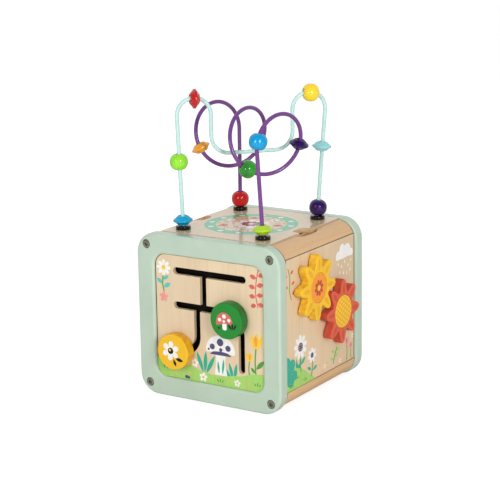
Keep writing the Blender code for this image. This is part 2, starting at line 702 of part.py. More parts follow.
def wire(name, path, colour):
    """A bent wire along a path, with closed ends."""
    curve = bpy.data.curves.new(name, "CURVE")
    curve.dimensions = "3D"
    curve.bevel_depth = WIRE_R
    curve.bevel_resolution = 2
    curve.use_fill_caps = True
    spline = curve.splines.new("POLY")
    spline.points.add(len(path) - 1)
    for point, place in zip(spline.points, path):
        point.co = (*place, 1)
    made = bpy.data.objects.new(name, curve)
    curve.materials.append(material(colour))
    solids.objects.link(made)
    return made


wire("wire_aqua", aqua_path, "aqua")
wire("wire_purple", purple_path, "purple")
bush_profile = [
    (WIRE_R + SEAT, bush_top),
    (BUSH_R - MM, bush_top),
    (BUSH_R, bush_top - MM),
    (BUSH_R, bush_low),
    (WIRE_R + SEAT, bush_low),
]
lid_hole = disc(WIRE_R + SEAT, LID_TOP - LID_T - MM, LID_TOP + MM)
for number, (su, sv) in enumerate(((-1, -1), (1, -1), (-1, 1), (1, 1)), 1):
    spot = slide(UP, su * LEG_X, sv * LEG_Y)
    revolve(f"bush_{number}", spot, bush_profile, "black", 14)
    cut(lid, revolve(f"wire_hole_{number}", spot, lid_hole, steps=12))


# Beads
def ball_profile():
    """A round bead, flattened a little at its flared bore."""
    rows = 6
    points = []
    for k in range(rows + 1):
        angle = math.radians(65 - 130 * k / rows)
        points.append((BALL_R * math.cos(angle), BALL_R * math.sin(angle)))
    flare = 0.6 * points[0][1]
    return points + [(BEAD_BORE_R, -flare), (BEAD_BORE_R, flare)]


def bicone_profile():
    """A saucer bead: two cones with a rounded rim."""
    half = BICONE_H / 2
    top = [(5.2 * MM, half), (BICONE_R - 1.2 * MM, 0.17 * half), (BICONE_R, 0)]
    low = [(r, -z) for r, z in top[1::-1]]
    return top + low + [(BEAD_BORE_R, -half * 0.6), (BEAD_BORE_R, half * 0.6)]


def upright(centre, axis):
    """The matrix that stands a bead at a point, its bore along an axis."""
    turned = Vector(axis).to_track_quat("Z", "Y").to_matrix().to_4x4()
    return Matrix.Translation(centre) @ turned


def leg_spot(foot, top, reach, drop=0.0):
    """A bead's middle and bore direction at a height up one leg, which it may lean on."""
    along = (top - foot).normalized()
    aside = along.cross(Vector((0, 1, 0))).normalized()
    return foot + along * reach + drop * aside, along


def curve_spot(before, here, after):
    """A bead's middle and bore direction on a bend given by three close points."""
    along = (after - before).normalized()
    inward = before + after - 2 * here
    inward = (inward - inward.dot(along) * along).normalized()
    return here + BEAD_DROP * inward, along


def crown_spot(middle, degrees):
    """A bead on one of the aqua wire's arches."""
    flat = arc((middle, AQUA_CROWN_Z), AQUA_CROWN_R, degrees + 1, degrees - 1, 2)
    return curve_spot(*[UP @ (diagonal * s + Vector((0, 0, z))) for s, z in flat])


def coil_spot(degrees):
    """A bead on the purple wire's coil."""
    return curve_spot(*[coil_point(degrees + step) for step in (-1, 0, 1)])


on_bush = 2 * SEAT
ball_half = BALL_R * math.sin(math.radians(65))
aqua_left = (aqua_path[1], aqua_path[2])
aqua_right = (aqua_path[-2], aqua_path[-3])
purple_rear = (purple_path[1], purple_path[2])
purple_front = (purple_path[-2], purple_path[-3])
beads = (
    ("aqua_1", "bicone", "sky", leg_spot(*aqua_left, on_bush + BICONE_H / 2)),
    ("aqua_2", "ball", "lime", leg_spot(*aqua_left, 77.5 * MM, BEAD_DROP)),
    ("aqua_3", "bicone", "red", crown_spot(AQUA_LEFT, 87)),
    ("aqua_4", "ball", "lemon", crown_spot(AQUA_RIGHT, 83)),
    ("aqua_5", "bicone", "pale_aqua", leg_spot(*aqua_right, 85.5 * MM, BEAD_DROP)),
    ("aqua_6", "ball", "violet", leg_spot(*aqua_right, on_bush + ball_half)),
    ("purple_1", "ball", "red", leg_spot(*purple_rear, on_bush + ball_half)),
    ("purple_2", "bicone", "tangerine", coil_spot(201)),
    ("purple_3", "ball", "leaf", coil_spot(595)),
    ("purple_4", "bicone", "violet", coil_spot(715)),
    ("purple_5", "ball", "blue", coil_spot(885)),
    ("purple_6", "bicone", "chartreuse", leg_spot(*purple_front, on_bush + BICONE_H / 2)),
)
profiles = {"ball": ball_profile(), "bicone": bicone_profile()}
for name, shape, colour, (centre, along) in beads:
    revolve(f"bead_{name}", upright(centre, along), profiles[shape], colour, 16)
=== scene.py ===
"""Looks of the wooden activity cube: finer pieces, finishes, printed artwork and the studio.

Drawings are in millimetres from the cube's middle, and the bench turns them into metres. +Z is
up.
"""

import json
import logging
import math
from collections.abc import Callable, Sequence
from dataclasses import dataclass, field
from enum import Enum

import bmesh
import bpy
from mathutils import Matrix, Vector

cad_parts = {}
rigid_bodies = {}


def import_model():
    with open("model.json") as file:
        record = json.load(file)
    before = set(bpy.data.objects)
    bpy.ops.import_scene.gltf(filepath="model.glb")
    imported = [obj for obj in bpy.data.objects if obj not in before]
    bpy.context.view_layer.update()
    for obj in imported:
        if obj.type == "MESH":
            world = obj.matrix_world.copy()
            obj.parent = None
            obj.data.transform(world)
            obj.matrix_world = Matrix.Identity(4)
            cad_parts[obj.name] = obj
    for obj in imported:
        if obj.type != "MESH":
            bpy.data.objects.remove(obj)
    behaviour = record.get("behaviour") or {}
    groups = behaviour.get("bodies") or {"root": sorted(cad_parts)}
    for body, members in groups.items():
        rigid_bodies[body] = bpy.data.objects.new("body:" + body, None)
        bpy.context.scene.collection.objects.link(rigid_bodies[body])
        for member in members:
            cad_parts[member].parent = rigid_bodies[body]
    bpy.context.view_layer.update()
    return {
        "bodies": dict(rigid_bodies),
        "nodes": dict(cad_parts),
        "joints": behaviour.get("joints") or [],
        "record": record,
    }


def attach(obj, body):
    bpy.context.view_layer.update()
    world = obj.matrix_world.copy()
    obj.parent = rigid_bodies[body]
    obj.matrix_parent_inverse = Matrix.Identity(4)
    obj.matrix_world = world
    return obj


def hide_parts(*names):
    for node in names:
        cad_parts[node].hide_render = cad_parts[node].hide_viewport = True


MM = 0.001
CUBE_Y = 5.5  # the cube's middle, in millimetres behind the frame's origin
SEAT = 0.3  # gap between pieces that are glued, screwed or laid on one another
WELD = 0.001 * MM  # points nearer to one another than this are merged
SHARP = math.radians(38)  # edges sharper than this can be rounded
OVER = 1  # how far a cutting tool reaches past what it cuts

Piece = bpy.types.Object
Socket = bpy.types.NodeSocket
Point = tuple[float, float]
Triple = tuple[float, float, float]
Loop = list[Point]
Colour = tuple[int, int, int]
Spot = tuple[Vector, Vector]

log = logging.getLogger("activity_cube")


class Side(Enum):
    """A side of the cube: the axis that points out of it and the one that runs to its right."""

    FRONT = ((0, -1, 0), (1, 0, 0))
    BACK = ((0, 1, 0), (-1, 0, 0))
    RIGHT = ((1, 0, 0), (0, 1, 0))
    LEFT = ((-1, 0, 0), (0, -1, 0))
    TOP = ((0, 0, 1), (1, 0, 0))

    def at(self, u: float = 0, v: float = 0, w: float = 0, turn: float = 0) -> Matrix:
        """Finds the matrix from drawings on this side to the world.

        Args:
            u: millimetres to the right.
            v: millimetres up from the floor, or back on the top.
            w: millimetres out from the cube's middle, or up from the floor on the top.
            turn: degrees anticlockwise, as seen from outside.

        Returns:
            The matrix, in metres.
        """
        out, right = (Vector(axis) for axis in self.value)
        basis = Matrix((right, out.cross(right), out)).transposed().to_4x4()
        spot = Matrix.Translation(Vector((u, v, w)) * MM)
        turned = spot @ Matrix.Rotation(math.radians(turn), 4, "Z")
        return Matrix.Translation((0, CUBE_Y * MM, 0)) @ basis @ turned


class Pencil:
    """Flat outlines, in millimetres."""

    @staticmethod
    def polar(centre: Point, radius: float, degrees: float) -> Point:
        """Finds the point at a distance from a centre, in a direction."""
        angle = math.radians(degrees)
        return (centre[0] + radius * math.cos(angle), centre[1] + radius * math.sin(angle))

    @staticmethod
    def ring(centre: Point, radius: float, headings: Sequence[float]) -> Loop:
        """Finds the points round a centre in some directions."""
        return [Pencil.polar(centre, radius, heading) for heading in headings]

    @staticmethod
    def arc(centre: Point, radius: float, start: float, end: float, steps: int) -> Loop:
        """Draws an arc with both its ends.

        Args:
            centre: its middle.
            radius: its radius.
            start: the angle of its first point, in degrees.
            end: the angle of its last point.
            steps: how many straight runs it has.

        Returns:
            The points in order.
        """
        turns = [start + (end - start) * k / steps for k in range(steps + 1)]
        return Pencil.ring(centre, radius, turns)

    @staticmethod
    def circle(centre: Point, radius: float, steps: int = 32) -> Loop:
        """Draws a full circle, anticlockwise."""
        return Pencil.arc(centre, radius, 0, 360, steps)[:-1]

    @staticmethod
    def dots(radius: float, steps: int, *spots: Point) -> list[Loop]:
        """Draws equal circles about several places."""
        return [Pencil.circle(spot, radius, steps) for spot in spots]

    @staticmethod
    def rounded(half_u: float, half_v: float, corner: float, middle: Point, steps: int = 8) -> Loop:
        """Draws a rectangle with round corners, anticlockwise.

        Args:
            half_u: half of its width.
            half_v: half of its height.
            corner: the radius of its corners.
            middle: its middle.
            steps: straight runs in each corner.

        Returns:
            The points in order.
        """
        points: Loop = []
        for turn, (su, sv) in enumerate(((1, 1), (-1, 1), (-1, -1), (1, -1))):
            centre = (middle[0] + su * (half_u - corner), middle[1] + sv * (half_v - corner))
            points += Pencil.arc(centre, corner, 90 * turn, 90 * turn + 90, steps)
        return points

    @staticmethod
    def soften(corners: Sequence[Triple], steps: int = 4, closed: bool = True) -> Loop:
        """Rounds the corners of a polygon.

        Args:
            corners: each corner's place and its radius, where 0 leaves it sharp.
            steps: straight runs in each rounded corner.
            closed: whether the last corner joins the first.

        Returns:
            The points in order.
        """
        points: Loop = []
        count = len(corners)
        for k, (x, y, radius) in enumerate(corners):
            here = Vector((x, y))
            if radius == 0 or (not closed and k in (0, count - 1)):
                points.append((x, y))
                continue
            before = (Vector(corners[k - 1][:2]) - here).normalized()
            after = (Vector(corners[(k + 1) % count][:2]) - here).normalized()
            half = before.angle(after) / 2
            centre = here + (before + after).normalized() * radius / math.sin(half)
            first = here + before * radius / math.tan(half) - centre
            last = here + after * radius / math.tan(half) - centre
            sweep = first.angle_signed(last)
            for step in range(steps + 1):
                spot = centre + Matrix.Rotation(-sweep * step / steps, 2) @ first
                points.append((spot.x, spot.y))
        return points

    @staticmethod
    def thicken(path: Loop, half: float, steps: int = 10) -> Loop:
        """Draws the round-ended outline of a slot or stroke along a path.

        Args:
            path: the points along its middle.
            half: half of its width.
            steps: straight runs in each round end.

        Returns:
            The points in order.
        """
        points: Loop = []
        for way in (path, path[::-1]):
            for k, point in enumerate(way[:-1]):
                before = Vector(way[max(k - 1, 0)])
                along = (Vector(way[k + 1]) - before).normalized()
                points.append((point[0] + half * along.y, point[1] - half * along.x))
            last = Vector(way[-1]) - Vector(way[-2])
            heading = math.degrees(math.atan2(last.y, last.x))
            points += Pencil.arc(way[-1], half, heading - 90, heading + 90, steps)[:-1]
        return points

    @staticmethod
    def flow(points: Sequence[Point], steps: int = 6, closed: bool = True) -> Loop:
        """Draws a smooth curve through a few points.

        Args:
            points: the points that it passes.
            steps: straight runs between two of them.
            closed: whether it comes back to its first point.

        Returns:
            The points in order.
        """
        count = len(points)
        drawn: Loop = []
        for k in range(count if closed else count - 1):
            near = range(k - 1, k + 3)
            if not closed:
                near = [min(max(spot, 0), count - 1) for spot in near]
            a, b, c, d = (Vector(points[spot % count]) for spot in near)
            for step in range(steps):
                t = step / steps
                spot = 0.5 * (
                    2 * b + (c - a) * t + (2 * a - 5 * b + 4 * c - d) * t * t
                    + (3 * b - a - 3 * c + d) * t ** 3
                )
                drawn.append((spot.x, spot.y))
        if not closed:
            drawn.append(tuple(points[-1]))
        return drawn


class Motif:
    """Simple printed shapes: flowers, leaves, clouds and the like."""

    @staticmethod
    def moved(loop: Loop, middle: Point, turn: float = 0) -> Loop:
        """Turns a loop and moves it.

        Args:
            loop: the points.
            middle: where the place (0, 0) goes.
            turn: degrees anticlockwise.

        Returns:
            The moved points.
        """
        spin = Matrix.Rotation(math.radians(turn), 2)
        spots = [Vector(middle) + spin @ Vector(point) for point in loop]
        return [(spot.x, spot.y) for spot in spots]

    @staticmethod
    def rosette(
        middle: Point, reach: float, petals: int, core: float = 0.4, turn: float = 0
    ) -> Loop:
        """Draws round petals about a middle, as one outline.

        Args:
            middle: its middle.
            reach: its radius at the petals' tips.
            petals: how many petals it has.
            core: the share of the radius that the valleys have.
            turn: the angle of the first petal, in degrees.

        Returns:
            The points in order.
        """
        loop: Loop = []
        steps = petals * 14
        for k in range(steps):
            angle = 2 * math.pi * k / steps
            radius = reach * (core + (1 - core) * abs(math.cos(petals * angle / 2)) ** 0.5)
            loop.append((radius * math.cos(angle), radius * math.sin(angle)))
        return Motif.moved(loop, middle, turn)

    @staticmethod
    def leaf(base: Point, heading: float, length: float, width: float, belly: float = 1) -> Loop:
        """Draws a pointed leaf.

        Args:
            base: where it starts.
            heading: the way that it points, in degrees.
            length: its length.
            width: its greatest width.
            belly: above 1 moves the widest place towards the tip, as in a drop.

        Returns:
            The points in order.
        """
        half = []
        for share in (k / 12 for k in range(13)):
            bulge = abs(math.sin(math.pi * share ** belly)) ** 0.8
            half.append((length * share, width / 2 * bulge))
        return Motif.moved(half + [(x, -y) for x, y in half[-2:0:-1]], base, heading)

    @staticmethod
    def leaves(length: float, width: float, *stalks: Triple) -> list[Loop]:
        """Draws equal leaves, each from a place in a direction."""
        return [Motif.leaf((u, v), heading, length, width) for u, v, heading in stalks]

    @staticmethod
    def mirrored(mirror: int, *stalks: Triple) -> list[Triple]:
        """Swaps leaves' places and directions left for right where the mirror is -1."""
        return [(mirror * u, v, a if mirror > 0 else 180 - a) for u, v, a in stalks]

    @staticmethod
    def fan(base: Point, headings: Sequence[float], length: float, width: float) -> list[Loop]:
        """Draws leaves that spread from close round one base, without touching."""
        starts = [(*Pencil.polar(base, 0.9 * width, heading), heading) for heading in headings]
        return Motif.leaves(length, width, *starts)

    @staticmethod
    def strokes(width: float, *paths: Sequence[Point]) -> list[Loop]:
        """Draws round-ended strokes of one width, each through a few points."""
        flows = [Pencil.flow(path, 5, closed=False) for path in paths]
        return [Pencil.thicken(flow, width / 2, 5) for flow in flows]

    @staticmethod
    def puff(circles: Sequence[Triple], middle: Point, floor: float) -> Loop:
        """Draws the outline round several circles that overlap, with a flat foot.

        Args:
            circles: the place and radius of each, the first one round the place (0, 0).
            middle: where the place (0, 0) goes.
            floor: the height of the flat foot, below 0.

        Returns:
            The points in order.
        """
        loop: Loop = []
        for k in range(120):
            angle = math.radians(3 * k)
            way = Vector((math.cos(angle), math.sin(angle)))
            reach = 0.0
            for x, y, radius in circles:
                along = way.dot(Vector((x, y)))
                rest = radius * radius - (x * x + y * y - along * along)
                if rest > 0:
                    reach = max(reach, along + math.sqrt(rest))
            if way.y < 0:
                reach = min(reach, floor / way.y)
            loop.append((middle[0] + reach * way.x, middle[1] + reach * way.y))
        return loop

    @staticmethod
    def hill(top: Sequence[Point], floor: float) -> Loop:
        """Draws a band of ground under a wavy line, down to a level."""
        return [(top[0][0], floor), (top[-1][0], floor), *Pencil.flow(top, 6, closed=False)[::-1]]

    @staticmethod
    def tulip(base: Point, width: float, height: float, turn: float = 0) -> Loop:
        """Draws a tulip's cup with three points.

        Args:
            base: where it stands.
            width: its width.
            height: its height.
            turn: how far it leans, in degrees anticlockwise.

        Returns:
            The points in order.
        """
        rim = ((-0.5, 1), (-0.24, 0.66), (0, 1.04), (0.24, 0.66), (0.5, 1))
        side = ((0.5, 1), (0.54, 0.45), (0.3, 0.08), (0, 0), (-0.3, 0.08), (-0.54, 0.45), (-0.5, 1))
        cup, bowl = ([(u * width, v * height) for u, v in part] for part in (rim, side))
        return Motif.moved(cup + Pencil.flow(bowl, 4, closed=False)[1:-1], base, turn)

    @staticmethod
    def cap(middle: Point, wide: float, tall: float, turn: float = 0) -> Loop:
        """Draws a toadstool's cap, its lower edge a little hollow.

        Args:
            middle: the middle of its lower edge.
            wide: its width.
            tall: its height.
            turn: how far it leans, in degrees anticlockwise.

        Returns:
            The points in order.
        """
        angles = [k / 18 * math.pi for k in range(19)]
        dome = [(wide / 2 * math.cos(a), tall * math.sin(a)) for a in angles]
        brim = ((-0.46, -0.12), (-0.2, -0.02), (0, 0.02), (0.2, -0.02), (0.46, -0.12))
        return Motif.moved(dome + [(u * wide, v * tall) for u, v in brim], middle, turn)

    @staticmethod
    def star(middle: Point, reach: float, points: int = 5) -> Loop:
        """Draws a star with its first point up."""
        radii = [reach, reach * 0.5] * points
        return [Pencil.polar(middle, r, 90 + 180 * k / points) for k, r in enumerate(radii)]

    @staticmethod
    def tufts(*spots: Triple) -> list[Loop]:
        """Draws tufts of grass.

        Args:
            spots: the place and the height of each.

        Returns:
            The three blades of each tuft.
        """
        blades = ((-0.45, 112, 0.8), (0.0, 88, 1.0), (0.45, 64, 0.75))
        return [
            Motif.leaf((u + shift * size, v), heading, size * tall, size * 0.22)
            for u, v, size in spots
            for shift, heading, tall in blades
        ]


class Bench:
    """The modelling bench. Each mesh is drawn, shaped and finished here with Blender's tools."""

    def clear(self) -> None:
        """Deselects every object."""
        bpy.ops.object.select_all(action="DESELECT")

    def only(self, *pieces: Piece) -> None:
        """Selects these pieces and nothing else, the first one active.

        Args:
            pieces: the pieces.
        """
        self.clear()
        for piece in pieces:
            piece.select_set(True)
        bpy.context.view_layer.objects.active = pieces[0]

    def scrap(self, *pieces: Piece) -> None:
        """Throws pieces away."""
        self.only(*pieces)
        bpy.ops.object.delete()

    def blank(self) -> Piece:
        """Starts a piece with an empty mesh, and leaves it in edit mode.

        Returns:
            The piece.
        """
        self.clear()
        bpy.ops.mesh.primitive_plane_add(size=MM, location=(0, 0, 0))
        bpy.ops.object.mode_set(mode="EDIT")
        bpy.ops.mesh.select_mode(type="VERT")
        bpy.ops.mesh.delete(type="VERT")
        return bpy.context.active_object

    def line(self, points: Sequence[Sequence[float]], closed: bool = True) -> None:
        """Draws one line of edges in edit mode and leaves it selected.

        Args:
            points: its points, two or three numbers each, in millimetres.
            closed: whether it comes back to its first point.
        """
        path = [Vector((*point, 0)[:3]) * MM for point in points]
        bpy.ops.mesh.select_all(action="DESELECT")
        bpy.ops.mesh.primitive_plane_add(size=MM, location=(0, 0, 0))
        bpy.ops.mesh.merge(type="CENTER")
        bpy.ops.transform.translate(value=path[0])
        for here, there in zip(path, path[1:] + path[:1] * closed):
            bpy.ops.mesh.extrude_vertices_move(TRANSFORM_OT_translate={"value": there - here})
        bpy.ops.mesh.select_linked()
        bpy.ops.mesh.remove_doubles(threshold=WELD)

    def raise_up(self, height: float) -> None:
        """Extrudes all that lies flat in edit mode, by a height in millimetres."""
        bpy.ops.mesh.select_all(action="SELECT")
        bpy.ops.mesh.extrude_region_move(TRANSFORM_OT_translate={"value": (0, 0, height * MM)})

    def close(self, weld: bool = False) -> None:
        """Turns every face outwards and leaves edit mode.

        Args:
            weld: whether the points of its seams are merged first.
        """
        bpy.ops.mesh.select_all(action="SELECT")
        if weld:
            bpy.ops.mesh.remove_doubles(threshold=WELD)
        bpy.ops.mesh.normals_make_consistent(inside=False)
        bpy.ops.object.mode_set(mode="OBJECT")

    def slab(self, loops: Sequence[Loop], low: float, high: float) -> Piece:
        """Makes flat plates of one thickness, one from each outline.

        Args:
            loops: the outlines, which don't lie in one another.
            low: the height of the plates' lower face.
            high: the height of their upper face.

        Returns:
            The closed piece.
        """
        piece = self.blank()
        for loop in loops:
            self.line([(u, v, low) for u, v in loop])
            bpy.ops.mesh.edge_face_add()
        self.raise_up(high - low)
        self.close()
        return piece

    def hoop(self, outer: Loop, inner: Loop, low: float, high: float) -> Piece:
        """Makes a flat ring from two outlines with as many points each.

        Args:
            outer: its outer outline.
            inner: its inner outline.
            low: the height of its lower face.
            high: the height of its upper face.

        Returns:
            The closed piece.
        """
        piece = self.blank()
        for loop in (outer, inner):
            self.line([(u, v, low) for u, v in loop])
        bpy.ops.mesh.select_all(action="SELECT")
        bpy.ops.mesh.select_mode(type="EDGE")
        bpy.ops.mesh.bridge_edge_loops()
        self.raise_up(high - low)
        self.close()
        return piece

    def revolve(self, profile: Loop, steps: int = 48, closed: bool = False) -> Piece:
        """Spins a profile about the local Z axis.

        Args:
            profile: points of radius and height, from axis to axis unless it is closed.
            steps: how many flats the turned piece has around.
            closed: whether the profile closes on itself, as a ring's does.

        Returns:
            The closed piece.
        """
        piece = self.blank()
        self.line([(radius, 0, height) for radius, height in profile], closed)
        bpy.ops.mesh.spin(
            steps=steps, dupli=False, angle=2 * math.pi, center=(0, 0, 0), axis=(0, 0, 1)
        )
        self.close(weld=True)
        return piece

    def spindle(self, corners: Sequence[Triple], flats: int, steps: int = 4) -> Piece:
        """Turns a piece from the corners of its profile, from axis to axis.

        Args:
            corners: each corner's radius, height and rounding.
            flats: how many flats it has around.
            steps: straight runs in each rounded corner.

        Returns:
            The closed piece.
        """
        return self.revolve(Pencil.soften(corners, steps, closed=False), flats)

    def drill(self, piece: Piece, spot: Point, radius: float, flats: int, *levels: float) -> None:
        """Drills a round hole through a piece.

        Args:
            piece: the piece.
            spot: the hole's middle.
            radius: its radius.
            flats: how many flats it has around.
            levels: the heights of the piece's lower and upper face.
        """
        low, high = levels
        self.cut(piece, self.slab([Pencil.circle(spot, radius, flats)], low - OVER, high + OVER))

    def tube(self, path: Sequence[Sequence[float]], radius: float) -> Piece:
        """Bends a round wire along a path.

        Args:
            path: its points, in millimetres.
            radius: its radius.

        Returns:
            The closed piece.
        """
        self.blank()
        self.line(path, closed=False)
        bpy.ops.object.mode_set(mode="OBJECT")
        bpy.ops.object.convert(target="CURVE")
        drawn = bpy.context.active_object.data
        drawn.bevel_depth = radius * MM
        drawn.bevel_resolution = 6
        drawn.use_fill_caps = True
        return self.meshed()

    def meshed(self) -> Piece:
        """Turns the active curve or text into a closed mesh.

        Returns:
            The piece.
        """
        bpy.ops.object.convert(target="MESH")
        bpy.ops.object.mode_set(mode="EDIT")
        self.close(weld=True)
        return bpy.context.active_object

    def film(self, loops: Sequence[Loop], low: float, high: float) -> Piece:
        """Makes a film of ink, in which an outline inside another one is a hole.

        Args:
            loops: the outlines, which don't cross.
            low: the height of its lower face.
            high: the height of its upper face.

        Returns:
            The closed piece.
        """
        self.clear()
        bpy.ops.curve.primitive_bezier_circle_add(location=(0, 0, 0))
        drawn = bpy.context.active_object.data
        drawn.splines.clear()
        drawn.dimensions = "2D"
        drawn.fill_mode = "BOTH"
        drawn.extrude = (high - low) / 2
        for loop in loops:
            spline = drawn.splines.new("POLY")
            spline.points.add(len(loop) - 1)
            for point, (u, v) in zip(spline.points, loop):
                point.co = (u, v, 0, 1)
            spline.use_cyclic_u = True
        lift = Matrix.Translation((0, 0, (low + high) / 2))
        return self.place(self.meshed(), Matrix.Scale(MM, 4) @ lift)

    def word(self, text: str, middle: Point, size: float, low: float, high: float) -> Piece:
        """Makes a film of plain figures.

        Args:
            text: the figures.
            middle: their middle.
            size: their height.
            low: the height of the film's lower face.
            high: the height of its upper face.

        Returns:
            The closed piece.
        """
        self.clear()
        bpy.ops.object.text_add(location=(0, 0, 0))
        drawn = bpy.context.active_object.data
        drawn.body = text
        drawn.align_x = drawn.align_y = "CENTER"
        drawn.size = size / 0.7
        drawn.offset = 0.02 * size
        drawn.resolution_u = 4
        drawn.extrude = (high - low) / 2
        lift = Matrix.Translation((*middle, (low + high) / 2))
        return self.place(self.meshed(), Matrix.Scale(MM, 4) @ lift)

    def bevel(
        self,
        piece: Piece,
        width: float,
        segments: int,
        where: Callable[[Vector], bool] | None = None,
    ) -> None:
        """Rounds the sharp edges of a piece.

        Args:
            piece: the piece.
            width: the width of the rounding, in millimetres.
            segments: how many flats the rounding has.
            where: which edges, by the middle of each in millimetres, or all of them.
        """
        self.only(piece)
        bpy.ops.object.mode_set(mode="EDIT")
        bpy.ops.mesh.select_mode(type="EDGE")
        bpy.ops.mesh.select_all(action="DESELECT")
        bpy.ops.mesh.edges_select_sharp(sharpness=SHARP)
        shape = bmesh.from_edit_mesh(piece.data)
        if where:
            for edge in shape.edges:
                middle = (edge.verts[0].co + edge.verts[1].co) / 2 / MM
                if edge.select and not where(middle):
                    edge.select_set(False)
            shape.select_flush_mode()
            bmesh.update_edit_mesh(piece.data)
        bpy.ops.mesh.bevel(offset=width * MM, segments=segments, profile=0.5, affect="EDGES")
        self.close()

    def cut(self, piece: Piece, tool: Piece) -> None:
        """Cuts the shape of a tool out of a piece and throws the tool away.

        Args:
            piece: the piece.
            tool: the tool.
        """
        self.only(piece)
        boolean = piece.modifiers.new("cut", "BOOLEAN")
        boolean.operation = "DIFFERENCE"
        boolean.solver = "EXACT"
        boolean.object = tool
        bpy.ops.object.modifier_apply(modifier=boolean.name)
        self.scrap(tool)

    def smooth(self, piece: Piece, angle: float = 32) -> None:
        """Shades a piece smooth and keeps its broad faces flat.

        Args:
            piece: the piece.
            angle: the sharpest angle that is still shaded smooth, in degrees.
        """
        self.only(piece)
        bpy.ops.object.shade_smooth_by_angle(angle=math.radians(angle))
        weighted = piece.modifiers.new("weighted", "WEIGHTED_NORMAL")
        weighted.keep_sharp = True
        bpy.ops.object.modifier_apply(modifier=weighted.name)

    def copy(self, piece: Piece) -> Piece:
        """Copies a piece together with its mesh.

        Args:
            piece: the piece.

        Returns:
            The copy.
        """
        self.only(piece)
        bpy.ops.object.duplicate(linked=False)
        return bpy.context.active_object

    def join(self, pieces: Sequence[Piece]) -> Piece:
        """Joins pieces into the first of them.

        Args:
            pieces: the pieces.

        Returns:
            The joined piece.
        """
        self.only(*pieces)
        bpy.ops.object.join()
        return pieces[0]

    def place(self, piece: Piece, matrix: Matrix) -> Piece:
        """Moves a piece to its place and puts the move into its mesh.

        Args:
            piece: the piece.
            matrix: the move, in metres.

        Returns:
            The piece.
        """
        piece.matrix_world = matrix
        self.only(piece)
        bpy.ops.object.transform_apply(location=True, rotation=True, scale=True)
        return piece


